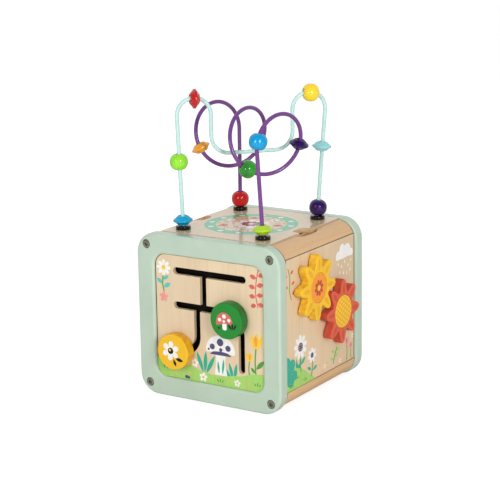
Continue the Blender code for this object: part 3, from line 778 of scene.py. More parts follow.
class Graph:
    """The nodes of one material or world, wired one after the other up to its shader."""

    def __init__(self, owner: bpy.types.Material | bpy.types.World) -> None:
        """Starts with the shader that a new material or world has.

        Args:
            owner: the material or world.
        """
        owner.use_nodes = True
        self.owner = owner
        self.tree = owner.node_tree
        self.shader = self.tree.nodes.get("Principled BSDF") or self.tree.nodes["Background"]
        self.coords = self.node("TexCoord", {})

    def feed(self, socket: Socket, value: object) -> None:
        """Gives a socket another node's output, or a plain value.

        Args:
            socket: the socket.
            value: the output or the value.
        """
        if isinstance(value, bpy.types.NodeSocket):
            self.tree.links.new(value, socket)
        else:
            socket.default_value = value

    def node(self, kind: str, feeds: dict[str | int, object], **settings: object) -> bpy.types.Node:
        """Adds a node.

        Args:
            kind: its kind, without Blender's prefix.
            feeds: what its sockets get, by their name or number.
            settings: its own settings.

        Returns:
            The node.
        """
        made = self.tree.nodes.new(f"ShaderNode{kind}")
        for name, value in settings.items():
            setattr(made, name, value)
        for socket, value in feeds.items():
            self.feed(made.inputs[socket], value)
        return made

    def space(self, stretch: Sequence[float] = (1, 1, 1), shift: float = 0) -> Socket:
        """The place on the object, squeezed along each axis and shifted.

        Args:
            stretch: the factor along each axis.
            shift: the shift along all of them.

        Returns:
            The place.
        """
        where = self.coords.outputs["Object"]
        feeds = {"Vector": where, "Scale": tuple(stretch), "Location": (shift,) * 3}
        return self.node("Mapping", feeds).outputs[0]

    def noise(
        self, where: Socket, scale: float, detail: float = 2, rough: float = 0.5, bend: float = 0
    ) -> Socket:
        """A cloudy pattern from 0 to 1.

        Args:
            where: the place that it reads.
            scale: how many of its clouds there are in a metre.
            detail: how many finer layers it has.
            rough: how strong those are.
            bend: how much it is distorted.

        Returns:
            Its value.
        """
        feeds = {"Vector": where, "Scale": scale, "Detail": detail, "Roughness": rough}
        feeds["Distortion"] = bend
        return self.node("TexNoise", feeds).outputs[0]

    def spread(
        self, value: Socket, start: float, end: float, low: float = 0, high: float = 1
    ) -> Socket:
        """Maps the range from start to end to low to high, and holds it there outside."""
        feeds = {"Value": value, "From Min": start, "From Max": end, "To Min": low, "To Max": high}
        return self.node("MapRange", feeds, clamp=True).outputs[0]

    def maths(self, operation: str, first: Socket | float, second: Socket | float = 0) -> Socket:
        """The result of a sum on one or two values."""
        return self.node("Math", {0: first, 1: second}, operation=operation).outputs[0]

    def layer(
        self, tone: Socket, second: object, value: Socket, start: float, end: float, share: float
    ) -> Socket:
        """Lays a second colour over a tone where a pattern goes from start to end.

        Args:
            tone: the tone so far.
            second: the colour over it.
            value: the pattern.
            start: where it begins to show.
            end: where it shows most.
            share: how much it shows there, from 0 to 1.

        Returns:
            The new tone.
        """
        return self.blend(self.spread(value, start, end, 0, share), tone, second)

    def blend(self, share: Socket, first: object, second: object) -> Socket:
        """Goes from the first colour to the second as the share goes from 0 to 1."""
        return self.node("Mix", {0: share, 6: first, 7: second}, data_type="RGBA").outputs[2]

    def split(self, output: str, axis: str) -> Socket:
        """One axis of the place or of the normal on the object."""
        parts = self.node("SeparateXYZ", {0: self.coords.outputs[output]})
        return parts.outputs["XYZ".index(axis)]

    def facing(self, axis: str) -> Socket:
        """How squarely the surface faces along an axis, either way, from 0 to 1."""
        return self.maths("ABSOLUTE", self.split("Normal", axis))

    def rounding(self, axis: str) -> Socket:
        """1 where an edge's rounding stands at 45 degrees to an axis, 0 on the flats."""
        square = self.maths("POWER", self.facing(axis), 2)
        rest = self.maths("SUBTRACT", 1, square)
        return self.maths("MULTIPLY", self.maths("MULTIPLY", square, rest), 4)

    def beyond(self, axis: str, middle: float, reach: float, soft: float) -> Socket:
        """1 farther from a level across an axis than a reach, and 0 nearer.

        Args:
            axis: the axis.
            middle: the level, in millimetres.
            reach: the reach, in millimetres.
            soft: how wide the change between them is.

        Returns:
            The value.
        """
        away = self.maths("SUBTRACT", self.split("Object", axis), middle * MM)
        away = self.maths("ABSOLUTE", away)
        return self.spread(away, (reach - soft / 2) * MM, (reach + soft / 2) * MM)

    def dress(self, colour: object, rough: object, coat: float, coat_rough: float = 0.08) -> None:
        """Sets the shader's colour, roughness and clear coat.

        Args:
            colour: the colour under the coat.
            rough: the roughness under it.
            coat: the coat's weight.
            coat_rough: the coat's roughness.
        """
        self.feed(self.shader.inputs["Base Color"], colour)
        self.feed(self.shader.inputs["Roughness"], rough)
        self.shader.inputs["Specular IOR Level"].default_value = 0.2
        self.shader.inputs["Coat Weight"].default_value = coat
        self.shader.inputs["Coat Roughness"].default_value = coat_rough

    def emboss(self, height: Socket, depth: float, strength: float = 1) -> None:
        """Makes the surface uneven by a height from 0 to 1, its depth in millimetres."""
        feeds = {"Strength": strength, "Distance": depth * MM, "Height": height}
        self.feed(self.shader.inputs["Normal"], self.node("Bump", feeds).outputs[0])


@dataclass(frozen=True)
class Finish:
    """What a surface is made of or painted with."""

    name: str  # the material's name
    colour: Colour  # its main colour, in 8-bit sRGB

    @staticmethod
    def linear(colour: Colour, gain: float = 1.0) -> tuple[float, float, float, float]:
        """Turns an 8-bit sRGB colour into the linear one that shaders take.

        Args:
            colour: the colour.
            gain: how much brighter it gets.

        Returns:
            Its red, green, blue and alpha.
        """
        parts = [c / 255 for c in colour]
        low = [c / 12.92 if c <= 0.04045 else ((c + 0.055) / 1.055) ** 2.4 for c in parts]
        return (low[0] * gain, low[1] * gain, low[2] * gain, 1.0)

    def tone(self, gain: float = 1.0, warm: float = 0.0) -> tuple[float, float, float, float]:
        """The main colour, brighter or darker, and warmer by a share."""
        red, green, blue, _ = self.linear(self.colour, gain)
        return (red, green * (1 - 0.35 * warm), blue * (1 - 0.7 * warm), 1.0)

    def build(self) -> bpy.types.Material:
        """Makes the material.

        Returns:
            The material.
        """
        graph = Graph(bpy.data.materials.new(self.name))
        self.wire(graph)
        return graph.owner

    def wire(self, graph: Graph) -> None:
        """Adds this finish's nodes to its material."""
        raise NotImplementedError


@dataclass(frozen=True)
class Wood(Finish):
    """Clear-coated wood with figure, fibres and pores, or plywood with its veneers' edges.

    Each rim is an axis, a middle and a reach in millimetres, beyond which the wood is darkened:
    painted shadow of the gaps at the frames and rails, and their scorched edges.
    """

    grain: str = "Z"  # the axis along its fibres
    face: str = "Y"  # the axis through a board's thickness
    veneer: float = 0  # how thick each veneer is in millimetres, or 0 for solid wood
    figure: float = 0.5  # how strongly the figure shows, from 0 to 1
    pores: float = 0.2  # how strongly its short dark pores show
    gloss: float = 0.4  # the weight of its clear coat
    rough: float = 0.5  # its roughness under the coat
    singe: float = 0.5  # how far its cut edges are browned
    rims: tuple[tuple[str, float, float], ...] = ()  # painted gap shadow and scorched edges

    def stretch(self, along: float) -> list[float]:
        """Squeezes the pattern along the grain, which draws it out into streaks."""
        return [along if axis == self.grain else 1.0 for axis in "XYZ"]

    def wire(self, graph: Graph) -> None:
        """Adds its nodes.

        Args:
            graph: the material's nodes.
        """
        drift = graph.noise(graph.space(self.stretch(0.12)), 16, 2, 0.4, 0.4)
        rings = graph.noise(graph.space(self.stretch(0.05), 0.3), 85, 3, 0.55, 1.4)
        streak = graph.noise(graph.space(self.stretch(0.03), 0.7), 420, 2, 0.6, 0.3)
        fibre = graph.noise(graph.space(self.stretch(0.02), 1.1), 1500, 2, 0.6)
        pore = graph.noise(graph.space(self.stretch(0.09), 1.9), 900, 1, 0.5)
        tone = graph.blend(graph.spread(drift, 0.35, 0.65), self.tone(0.95, 0.03), self.tone(1.05))
        tone = graph.layer(tone, self.tone(0.84, 0.16), rings, 0.48, 0.72, self.figure)
        tone = graph.layer(tone, self.tone(0.8, 0.2), streak, 0.5, 0.75, 0.6 * self.figure)
        tone = graph.layer(tone, self.tone(1.1), fibre, 0.35, 0.7, 0.35 * self.figure)
        tone = graph.layer(tone, self.tone(0.55, 0.3), pore, 0.68, 0.76, self.pores)
        edge = graph.spread(graph.facing(self.face), 0.75, 0.45)
        if self.veneer:
            layer = self.veneer * MM
            depth = graph.maths("PINGPONG", graph.split("Object", self.face), layer)
            stripe = graph.spread(depth, 0.42 * layer, 0.58 * layer)
            cut_tone = graph.blend(stripe, self.tone(0.5, 0.35), self.tone(0.78, 0.2))
            grit = graph.noise(graph.space(shift=0.2), 1300, 2, 0.7)
            cut_tone = graph.layer(cut_tone, self.tone(0.4, 0.4), grit, 0.45, 0.7, 0.5)
            tone = graph.blend(graph.maths("MULTIPLY", edge, self.singe), tone, cut_tone)
        # painted shadow: darkens the wood in the gaps where it meets the frames and rails, and
        # stands for scorched edges too
        for axis, middle, reach in self.rims:
            gap_shadow = graph.maths("MULTIPLY", graph.beyond(axis, middle, reach, 0.7), 0.8)
            tone = graph.blend(gap_shadow, tone, self.tone(0.16, 0.5))
        height = graph.maths("ADD", graph.maths("MULTIPLY", fibre, 0.6), streak)
        graph.emboss(height, 0.05, 0.35)
        rough = graph.spread(streak, 0.3, 0.7, self.rough - 0.05, self.rough + 0.07)
        graph.dress(tone, rough, self.gloss)


@dataclass(frozen=True)
class Paint(Finish):
    """Sprayed paint on wood, with a painted highlight that lightens its rounded edges."""

    face: str = "Y"  # the axis that its broad faces look along
    wall: Colour | None = None  # side colour, or None for the main one; painted shade on the gears
    grain: float = 0.5  # how strongly the wood under it shows
    pale: float = 0.3  # how far the roundings are lightened, a painted highlight
    gloss: float = 0.5  # the weight of its clear coat
    rough: float = 0.4  # its roughness under the coat

    def wire(self, graph: Graph) -> None:
        """Adds its nodes.

        Args:
            graph: the material's nodes.
        """
        cloud = graph.noise(graph.space(), 22, 3, 0.5)
        speck = graph.noise(graph.space(shift=0.5), 1700, 1, 0.5)
        fibre = graph.noise(graph.space((1, 1, 0.04), 0.9), 520, 3, 0.6, 0.3)
        tone = graph.blend(graph.spread(cloud, 0.35, 0.65), self.tone(0.965), self.tone(1.03))
        tone = graph.layer(tone, self.tone(0.9, 0.04), fibre, 0.45, 0.75, 0.5 * self.grain)
        # the narrow sides take the side colour with a cloudy patch; on the gears that darker copy
        # is painted shade
        if self.wall:
            side = graph.spread(graph.facing(self.face), 0.8, 0.35)
            patch = graph.noise(graph.space(shift=1.4), 150, 3, 0.6)
            dark, pale = self.linear(self.wall, 0.8), self.linear(self.wall, 1.15)
            wall_tone = graph.blend(graph.spread(patch, 0.35, 0.65), dark, pale)
            tone = graph.blend(side, tone, wall_tone)
        # painted highlight: the roundings are lightened towards a paler copy of the colour
        rim = graph.rounding(self.face)
        tone = graph.blend(graph.maths("MULTIPLY", rim, self.pale), tone, self.tone(1.22))
        rub = graph.noise(graph.space(shift=2.3), 260, 4, 0.7)
        worn = graph.maths("MULTIPLY", rim, graph.spread(rub, 0.66, 0.76, 0, 0.35))
        tone = graph.blend(worn, tone, self.linear((226, 204, 172)))
        height = graph.maths("ADD", graph.maths("MULTIPLY", speck, 0.35), fibre)
        graph.emboss(height, 0.03, 0.3 + 0.2 * self.grain)
        rough = graph.spread(cloud, 0.3, 0.7, self.rough - 0.04, self.rough + 0.06)
        graph.dress(tone, rough, self.gloss)


@dataclass(frozen=True)
class Gloss(Finish):
    """Smooth lacquer or moulded plastic, with a slight ripple."""

    gloss: float = 1.0  # the weight of its clear coat
    rough: float = 0.3  # its roughness under the coat
    sheen: float = 0.2  # the roughness of the coat
    ripple: float = 0.02  # how deep its ripple is, in millimetres
    drift: float = 0.03  # how far its tone drifts

    def wire(self, graph: Graph) -> None:
        """Adds its nodes.

        Args:
            graph: the material's nodes.
        """
        cloud = graph.noise(graph.space(), 60, 2, 0.4)
        peel = graph.noise(graph.space(shift=0.4), 90, 1, 0.4)
        speck = graph.noise(graph.space(shift=1.2), 900, 1, 0.5)
        first, second = self.tone(1 - self.drift), self.tone(1 + self.drift)
        tone = graph.blend(graph.spread(cloud, 0.35, 0.65), first, second)
        tone = graph.layer(tone, self.tone(0.85), speck, 0.68, 0.8, 0.12)
        graph.emboss(peel, self.ripple, 0.12)
        rough = graph.spread(cloud, 0.3, 0.7, self.rough - 0.03, self.rough + 0.06)
        graph.dress(tone, rough, self.gloss, self.sheen)
        graph.shader.inputs["Specular IOR Level"].default_value = 0


@dataclass(frozen=True)
class Steel(Finish):
    """Dark plated steel with fine scratches."""

    rough: float = 0.36

    def wire(self, graph: Graph) -> None:
        """Adds its nodes.

        Args:
            graph: the material's nodes.
        """
        cloud = graph.noise(graph.space(), 240, 4, 0.6)
        scratch = graph.noise(graph.space((1, 1, 0.06), 0.6), 2400, 3, 0.6, 0.4)
        tone = graph.blend(graph.spread(cloud, 0.35, 0.65), self.tone(0.75, 0.1), self.tone(1.15))
        tone = graph.layer(tone, self.tone(1.5), scratch, 0.6, 0.75, 0.5)
        graph.emboss(scratch, 0.02, 0.3)
        graph.shader.inputs["Metallic"].default_value = 0.85
        graph.dress(tone, graph.spread(cloud, 0.3, 0.7, self.rough - 0.06, self.rough + 0.1), 0)


@dataclass(frozen=True)
class Ink(Finish):
    """Printed ink that lets a little of the grain through, under a clear coat."""

    grain: str = "Z"  # the axis of the wood's fibres under it
    gloss: float = 0.3  # the weight of the clear coat over it

    def wire(self, graph: Graph) -> None:
        """Adds its nodes.

        Args:
            graph: the material's nodes.
        """
        squeeze = [0.05 if axis == self.grain else 1.0 for axis in "XYZ"]
        streak = graph.noise(graph.space(squeeze, 0.7), 420, 2, 0.6, 0.3)
        dots = graph.noise(graph.space(shift=0.8), 1900, 1, 0.5)
        tone = graph.blend(graph.spread(streak, 0.35, 0.7), self.tone(1.03), self.tone(0.95, 0.04))
        tone = graph.layer(tone, self.tone(0.9, 0.08), dots, 0.62, 0.75, 0.35)
        graph.emboss(streak, 0.02, 0.2)
        graph.dress(tone, graph.spread(dots, 0.3, 0.7, 0.42, 0.55), self.gloss)


@dataclass
class Workshop:
    """Gives finished pieces their materials and their bodies, and keeps the tally."""

    bench: Bench = field(default_factory=Bench)  # the tools that shape the pieces
    nodes: dict[str, Piece] = field(default_factory=dict)  # the CAD nodes by name
    made: dict[Finish, bpy.types.Material] = field(default_factory=dict)  # materials by finish
    glossy: list[Piece] = field(default_factory=list)  # the lacquered and moulded pieces
    tally: int = 0  # how many pieces were delivered

    def coat(self, piece: Piece, finish: Finish) -> None:
        """Gives a piece one finish all over, built when it is first asked for.

        Args:
            piece: the piece.
            finish: the finish.
        """
        if finish not in self.made:
            self.made[finish] = finish.build()
        piece.data.materials.clear()
        piece.data.materials.append(self.made[finish])

    def deliver(
        self, piece: Piece, name: str, body: str, finish: Finish | None, *nodes: str
    ) -> None:
        """Names a finished piece, mounts it and hides the CAD nodes that it stands for.

        Args:
            piece: the piece, in its place.
            name: its name.
            body: the CAD body that it moves with.
            finish: its finish, or None where it has its materials already.
            nodes: the CAD nodes that it replaces.
        """
        piece.name = piece.data.name = name
        if finish:
            self.coat(piece, finish)
        if isinstance(finish, Gloss):
            self.glossy.append(piece)
        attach(piece, body)
        if nodes:
            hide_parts(*nodes)
        self.tally += 1
        log.info("%s: %d faces on %s", name, len(piece.data.polygons), body)

    def refinish(self, finish: Finish, *nodes: str) -> None:
        """Gives CAD nodes that stay in view a finish of their own.

        Args:
            finish: the finish.
            nodes: their names.
        """
        for node in nodes:
            self.coat(self.nodes[node], finish)
            log.info("%s keeps its shape", node)


MINT = Paint("mint_paint", (188, 207, 188), grain=0.25, gloss=0.6)
MAPLE = Wood("maple_ply", (231, 208, 175), veneer=1.7, figure=0.35, pores=0.1, gloss=0.35)
MAPLE_BASE = Wood("maple_base", (222, 196, 160), grain="X", face="Z", veneer=1.7, figure=0.4)
# Side panels and rails are darkened at their ends and joints: painted shadow of the gaps, and
# scorched edges.
SIDE_PLY = Wood(
    "side_ply", (226, 200, 165), face="X", veneer=1.8, figure=0.35, pores=0.1, gloss=0.12,
    rims=(("Y", CUBE_Y, 80.0), ("Z", 103.6, 79.0)),
)
LID_PLY = Wood("lid_ply", (226, 202, 168), grain="Y", face="Z", veneer=2.0, figure=0.4, gloss=0.8)
BEECH = Wood(
    "beech_rail", (224, 184, 138), grain="Y", face="Y", figure=0.6, pores=0.35, gloss=0.3,
    rims=(("Y", CUBE_Y, 80.0),),
)
BEECH_ROD = Wood("beech_rod", (216, 176, 130), grain="X", face="X", figure=0.5, pores=0.3)
BOARD = Wood("black_board", (13, 9, 8), grain="X", face="Y", figure=0.5, gloss=0.05, rough=0.7)
BOLT_STEEL = Steel("bolt_steel", (172, 172, 158), rough=0.42)
AXLE_STEEL = Steel("axle_steel", (160, 160, 158), rough=0.3)
BLACK = Gloss("black_plastic", (13, 13, 14), rough=0.2, ripple=0.01)
NYLON = Gloss("white_nylon", (228, 226, 218), gloss=0.2, rough=0.4)
# The gears' side colours are darker copies of their face colours: painted shade on the sides.
SUN_YELLOW = Paint(
    "gear_yellow", (250, 198, 44), face="X", wall=(240, 186, 54), grain=0.6, pale=0.25, gloss=0.1,
    rough=0.5,
)
SUN_ORANGE = Paint("disc_orange", (250, 158, 54), face="X", grain=0.3, gloss=0.1, rough=0.5)
CORAL = Paint(
    "gear_coral", (226, 98, 68), face="X", wall=(206, 86, 64), grain=0.6, pale=0.25, gloss=0.1,
    rough=0.5,
)
AMBER = Paint("disc_amber", (252, 202, 50), face="X", grain=0.3, gloss=0.1, rough=0.5)
KNOB_YELLOW = Paint(
    "knob_yellow_paint", (244, 190, 38), wall=(232, 168, 30), grain=0.3, pale=0.15, gloss=0.3
)
KNOB_GREEN = Paint(
    "knob_green_paint", (32, 136, 48), wall=(24, 112, 40), grain=0.3, pale=0.15, gloss=0.3
)
HAND_GREEN = Paint("hand_green", (60, 150, 70), face="X", wall=(40, 104, 48), gloss=0.3)
HAND_CORAL = Paint("hand_coral", (216, 98, 76), face="X", wall=(150, 52, 40), gloss=0.3)
PIN_YELLOW = Paint("pin_yellow", (246, 198, 60), face="X", gloss=0.4)
DIAL_WHITE = Paint("dial_white", (236, 234, 226), face="X", wall=(206, 176, 138), grain=0.3)
BLOCK_PAINTS = (
    Paint("block_coral", (218, 104, 84), face="X", grain=0.5, gloss=0.3),
    Paint("block_amber", (248, 200, 70), face="X", grain=0.5, gloss=0.3),
    Paint("block_green", (84, 168, 92), face="X", grain=0.5, gloss=0.3),
)
AQUA_WIRE = Gloss("wire_aqua_coat", (194, 228, 222), gloss=0.4, rough=0.4, sheen=0.25, drift=0.01)
PURPLE_WIRE = Gloss("wire_purple_coat", (118, 68, 138), gloss=0.8, rough=0.35, drift=0.04)
BEADS = {
    "sky": Gloss("bead_sky", (0, 160, 208)),
    "lime": Gloss("bead_lime", (150, 228, 56)),
    "red": Gloss("bead_red", (196, 24, 26)),
    "lemon": Gloss("bead_lemon", (254, 216, 50)),
    "pale_aqua": Gloss("bead_pale_aqua", (158, 222, 226)),
    "violet": Gloss("bead_violet", (44, 8, 84)),
    "tangerine": Gloss("bead_tangerine", (248, 166, 46)),
    "leaf": Gloss("bead_leaf", (50, 148, 48)),
    "blue": Gloss("bead_blue", (0, 154, 212)),
    "chartreuse": Gloss("bead_chartreuse", (178, 216, 40)),
}
GRASS = Ink("ink_grass", (166, 214, 110))
MOSS = Ink("ink_moss", (98, 142, 60))
LEAF = Ink("ink_leaf", (84, 158, 66))
TEAL = Ink("ink_teal", (48, 176, 146))
SKY = Ink("ink_sky", (96, 198, 190))
ROSE = Ink("ink_coral", (216, 106, 94))
PINK = Ink("ink_pink", (238, 160, 160))
SNOW = Ink("ink_white", (246, 244, 240))
CREAM = Ink("ink_cream", (248, 228, 200))
INDIGO = Ink("ink_indigo", (86, 80, 122))
SUNNY = Ink("ink_yellow", (250, 206, 66))
APRICOT = Ink("ink_orange", (245, 160, 62))
SAND = Ink("ink_sand", (232, 184, 124))
JET = Ink("ink_black", (24, 20, 22))
SUN_SHADE = Ink("ink_amber", (236, 162, 40))
SUN_PETAL = Ink("ink_sun_petal", (242, 178, 34), gloss=0.1)
CORAL_PETAL = Ink("ink_coral_petal", (206, 80, 54), gloss=0.1)
# Painted shadow: a dark ring printed on the front panel where the frame's opening meets it.
OPENING_SHADOW_INK = Ink("ink_opening_shadow", (104, 84, 48), gloss=0)
CORAL_SHADE = Ink("ink_deep_coral", (200, 66, 44))
MINT_RING = Ink("ink_mint", (96, 196, 150), grain="Y", gloss=0.6)
LID_LEAF = Ink("ink_lid_green", (70, 166, 104), grain="Y", gloss=0.6)
LID_ROSE = Ink("ink_lid_coral", (212, 84, 66), grain="Y", gloss=0.6)
LID_INDIGO = Ink("ink_lid_indigo", (44, 38, 92), grain="Y", gloss=0.6)
LID_SNOW = Ink("ink_lid_white", (248, 246, 242), grain="Y", gloss=0.6)


@dataclass
class Print:
    """Printed artwork on one flat face, each ink in a film of its own."""

    shop: Workshop  # the workshop that makes it
    name: str  # the finished piece's name
    body: str  # the CAD body that it moves with
    surface: float  # the height of the printed face in its drawing
    bed: float = 0.05  # how far a film reaches into that face
    first: float = 0.03  # how far the first film stands out of it
    rise: float = 0.009  # how much farther each later film does
    figure_rise: float = 0.15  # how far printed figures do
    films: list[Piece] = field(default_factory=list)  # the films drawn so far

    def keep(self, film: Piece, finish: Ink) -> None:
        """Gives a film its ink and adds it to the others."""
        self.shop.coat(film, finish)
        self.films.append(film)

    def ink(self, finish: Ink, *loops: Loop) -> None:
        """Draws one film, over those drawn before."""
        top = self.surface + self.first + self.rise * len(self.films)
        self.keep(self.shop.bench.film(loops, self.surface - self.bed, top), finish)

    def figures(self, finish: Ink, text: str, middle: Point, size: float) -> None:
        """Prints plain figures, all at one height."""
        low, high = self.surface - self.bed, self.surface + self.figure_rise
        self.keep(self.shop.bench.word(text, middle, size, low, high), finish)

    def flowers(self, heart: Ink, petals: Ink, count: int, turn: float, *spots: Triple) -> None:
        """Prints round-petalled flowers with their hearts.

        Args:
            heart: the ink of their hearts.
            petals: the ink of their petals.
            count: how many petals each has.
            turn: the angle of the first one, in degrees.
            spots: the place and the radius of each flower.
        """
        for u, v, reach in spots:
            self.ink(petals, Motif.rosette((u, v), reach, count, 0.36, turn))
            self.ink(heart, Pencil.circle((u, v), reach * 0.3, 20))

    def press(self, place: Matrix) -> None:
        """Joins the films, puts them in their place and delivers them."""
        piece = self.shop.bench.place(self.shop.bench.join(self.films), place)
        self.shop.deliver(piece, self.name, self.body, None)


@dataclass
class Section:
    """One sub-assembly of the cube."""

    shop: Workshop  # the workshop that makes its pieces

    @property
    def bench(self) -> Bench:
        """The tools that shape its pieces."""
        return self.shop.bench

    def fit(
        self,
        piece: Piece,
        place: Matrix,
        name: str,
        body: str,
        finish: Finish,
        node: str,
        angle: float = 32,
    ) -> None:
        """Shades a piece smooth, moves it to its place and delivers it.

        Args:
            piece: the piece.
            place: its place.
            name: its name.
            body: the CAD body that it moves with.
            finish: its finish.
            node: the CAD node that it replaces.
            angle: the sharpest angle that is still shaded smooth, in degrees.
        """
        self.bench.smooth(piece, angle)
        self.bench.place(piece, place)
        self.shop.deliver(piece, name, body, finish, node)


@dataclass
class Board(Section):
    """A sub-assembly on a panel that lies in one of the frames."""

    half: float = 79.7  # half of the panel's width and height
    corner: float = 14.7  # the radius of its corners
    middle: Point = (0, 100)  # its middle
    low: float = 90  # how far its inner face stands from the cube's middle
    high: float = 95  # how far its outer face does

    def board(self) -> Piece:
        """Makes the plain panel."""
        loop = Pencil.rounded(self.half, self.half, self.corner, self.middle, 10)
        return self.bench.slab([loop], self.low, self.high)


@dataclass
class Carcass(Section):
    """The cube's wooden case: frames, bolts, rails, side panels and what stays from the CAD."""

    half: float = 100  # half of the cube's width and height
    face: float = 99  # how far the frames' outer faces stand from the middle, front and back
    frame_in: float = 82  # how far their inner faces stand from it
    corner: float = 25  # the radius of a frame's outer corners
    opening: float = 76  # half of a frame's opening
    opening_corner: float = 15  # the radius of its corners
    edge: float = 3.5  # how far its edges are rounded
    rebate: float = 80  # half of the rebate that a panel lies in
    rebate_top: float = 95.3  # how far the rebate's floor stands from the middle
    bolt_at: float = 86  # a bolt's distance from the frame's middle, along and up
    bolt_top: float = 98.2  # how far a bolt's head stands from the cube's middle
    rail_in: float = 66  # where the rails begin, left and right of the middle
    rail_mid: float = 75  # where the middle of their rounding is, along and up
    rail_r: float = 23  # the radius of that rounding
    rail_end: float = 81.7  # half of their length
    shelf: float = 91.2  # where the side panels' rebates begin
    side_in: float = 91.5  # how far a side panel's inner face stands from the middle
    side_out: float = 97  # how far its outer face does
    joint_top: float = 183.4  # the height of the joint under a top rail
    joint_low: float = 23.8  # the height of the joint over a bottom rail
    lid_wall: float = 76.5  # where the top rails stop for the lid
    axle_hole: float = 4.3  # the radius of the holes for the axles

    def bolt_spots(self) -> list[Point]:
        """The bolts' places on a frame, in the order of the CAD nodes' numbers."""
        heights = (self.half - self.bolt_at, self.half + self.bolt_at)
        return [(u, v) for v in heights for u in (-self.bolt_at, self.bolt_at)]

    def counterbore(self) -> Piece:
        """Makes the stepped drill for a bolt's hole, which flares at the lip."""
        lip = [(0, 100), (6.467, 100), (5.4, 98.4), (5.4, 93.9)]
        return self.bench.revolve([*lip, (2.5, 93.9), (2.5, 63), (0, 63)], 32)

    def frame(self, label: str, side: Side) -> None:
        """Makes one frame: a rounded ring with a rebate for its panel and four counterbores.

        Args:
            label: its name.
            side: the side that it stands on.
        """
        bench, middle = self.bench, (0, self.half)
        outer = Pencil.rounded(self.half, self.half, self.corner, middle, 12)
        inner = Pencil.rounded(self.opening, self.opening, self.opening_corner, middle, 12)
        frame = bench.hoop(outer, inner, self.frame_in, self.face)
        bench.bevel(frame, self.edge, 5)
        twist = Matrix.Rotation(math.radians(3), 4, "Z")
        for u, v in self.bolt_spots():
            turned = Matrix.Translation((u * MM, v * MM, 0)) @ twist
            bench.cut(frame, bench.place(self.counterbore(), turned))
        rebate = Pencil.rounded(self.rebate, self.rebate, self.opening_corner, middle, 10)
        bench.cut(frame, bench.slab([rebate], self.frame_in - OVER, self.rebate_top))
        self.fit(frame, side.at(), f"{label}_frame", "box", MINT, f"frame_{label}")

    def bolts(self) -> None:
        """Makes one socket-head bolt and puts a copy of it in each counterbore."""
        bench, top, tip = self.bench, self.bolt_top, 65
        corners = [
            (0, top, 0), (4.7, top, 0.8), (4.7, top - 4, 0.2), (2.2, top - 4, 0),
            (2.2, tip, 0.4), (0, tip, 0),
        ]
        bolt = bench.spindle(corners, 40)
        bench.cut(bolt, bench.slab([Pencil.circle((0, 0), 2.9, 6)], top - 2.2, top + OVER))
        bench.bevel(bolt, 0.3, 2, lambda m: m.z > top - 0.1 and m.xy.length < 3.2)
        bench.smooth(bolt)
        for label, side in (("front", Side.FRONT), ("rear", Side.BACK)):
            for number, (u, v) in enumerate(self.bolt_spots(), 1):
                made = bench.place(bench.copy(bolt), side.at(u, v, turn=17 * number))
                name, node = f"{label}_bolt_{number}", f"bolt_{label}_{number}"
                self.shop.deliver(made, name, "box", BOLT_STEEL, node)
        bench.scrap(bolt)

    def rail_outlines(self, mirror: int) -> dict[str, Loop]:
        """Draws the cross-sections of a side's two rails, seen from the front.

        Args:
            mirror: 1 for the right-hand side, -1 for the left.

        Returns:
            The outlines by the rail's height.
        """
        mid, radius, inside = self.rail_mid, self.rail_r, self.rail_in
        high, low = self.half + mid, self.half - mid
        under, ledge = 168, 193.7  # a top rail's lower face, and the ledge under the lid
        over, foot, base_u, base_v = 32, 2, 72.3, 11.7  # a bottom rail's faces and its rebate
        wall = math.degrees(math.acos((self.lid_wall - mid) / radius))
        upper = math.degrees(math.asin((self.joint_top - high) / radius))
        lower = math.degrees(math.asin((self.joint_low - low) / radius))
        top = [(inside, under), (self.shelf, under), (self.shelf, self.joint_top)]
        top += Pencil.arc((mid, high), radius, upper, wall, 20)
        top += [(self.lid_wall, ledge), (inside, ledge)]
        bottom = [(inside, foot), *Pencil.arc((mid, low), radius, -90, lower, 20)]
        bottom += [(self.shelf, self.joint_low), (self.shelf, over)]
        bottom += [(base_u, over), (base_u, base_v), (inside, base_v)]
        drawn = (("top", top), ("bottom", bottom))
        return {name: [(mirror * u, v) for u, v in loop] for name, loop in drawn}

    def scoop(self, rail: Piece, mirror: int) -> None:
        """Cuts the finger scoop and the gap under the lid's notch out of a top rail.

        Args:
            rail: the rail.
            mirror: 1 for the right-hand side, -1 for the left.
        """
        bench, floor, clear = self.bench, 194, 203
        angles = [k / 48 * math.pi for k in range(1, 97, 2)]
        oval = [(mirror * (76.7 + 7 * math.cos(a)), 25 * math.sin(a)) for a in angles]
        scoop = bench.slab([oval], floor, clear)
        bench.bevel(scoop, 2.2, 4, lambda m: m.z < floor + 1)
        window = Pencil.rounded(3.7, 17, 2, (mirror * 72.9, 0), 5)
        for tool in (scoop, bench.slab([window], floor - 6, clear)):
            bench.cut(rail, bench.place(tool, Side.TOP.at()))

    def rails(self) -> None:
        """Makes the four rounded rails, with the finger scoops in the top pair."""
        bench = self.bench
        for label, mirror in (("left", -1), ("right", 1)):
            for height, loop in self.rail_outlines(mirror).items():
                rail = bench.slab([loop], -self.rail_end, self.rail_end)
                bench.bevel(rail, 0.35, 2)
                bench.place(rail, Side.FRONT.at())
                if height == "top":
                    self.scoop(rail, mirror)
                bench.smooth(rail)
                name, node = f"{label}_{height}_rail", f"rail_{height}_{label}"
                self.shop.deliver(rail, name, "box", BEECH, node)

    def side_panels(self, holes: dict[Side, list[Point]]) -> None:
        """Makes the two side panels, drilled for their axles.

        Args:
            holes: where each panel is drilled.
        """
        low, high = self.joint_low + SEAT, self.joint_top - SEAT
        loop = Pencil.rounded(self.rail_end, (high - low) / 2, 0.5, (0, (low + high) / 2), 2)
        for label, side in (("right", Side.RIGHT), ("left", Side.LEFT)):
            panel = self.bench.slab([loop], self.side_in, self.side_out)
            self.bench.bevel(panel, 0.4, 2)
            for spot in holes[side]:
                self.bench.drill(panel, spot, self.axle_hole, 32, self.side_in, self.side_out)
            self.fit(panel, side.at(), f"{label}_panel", "box", SIDE_PLY, f"panel_{label}")

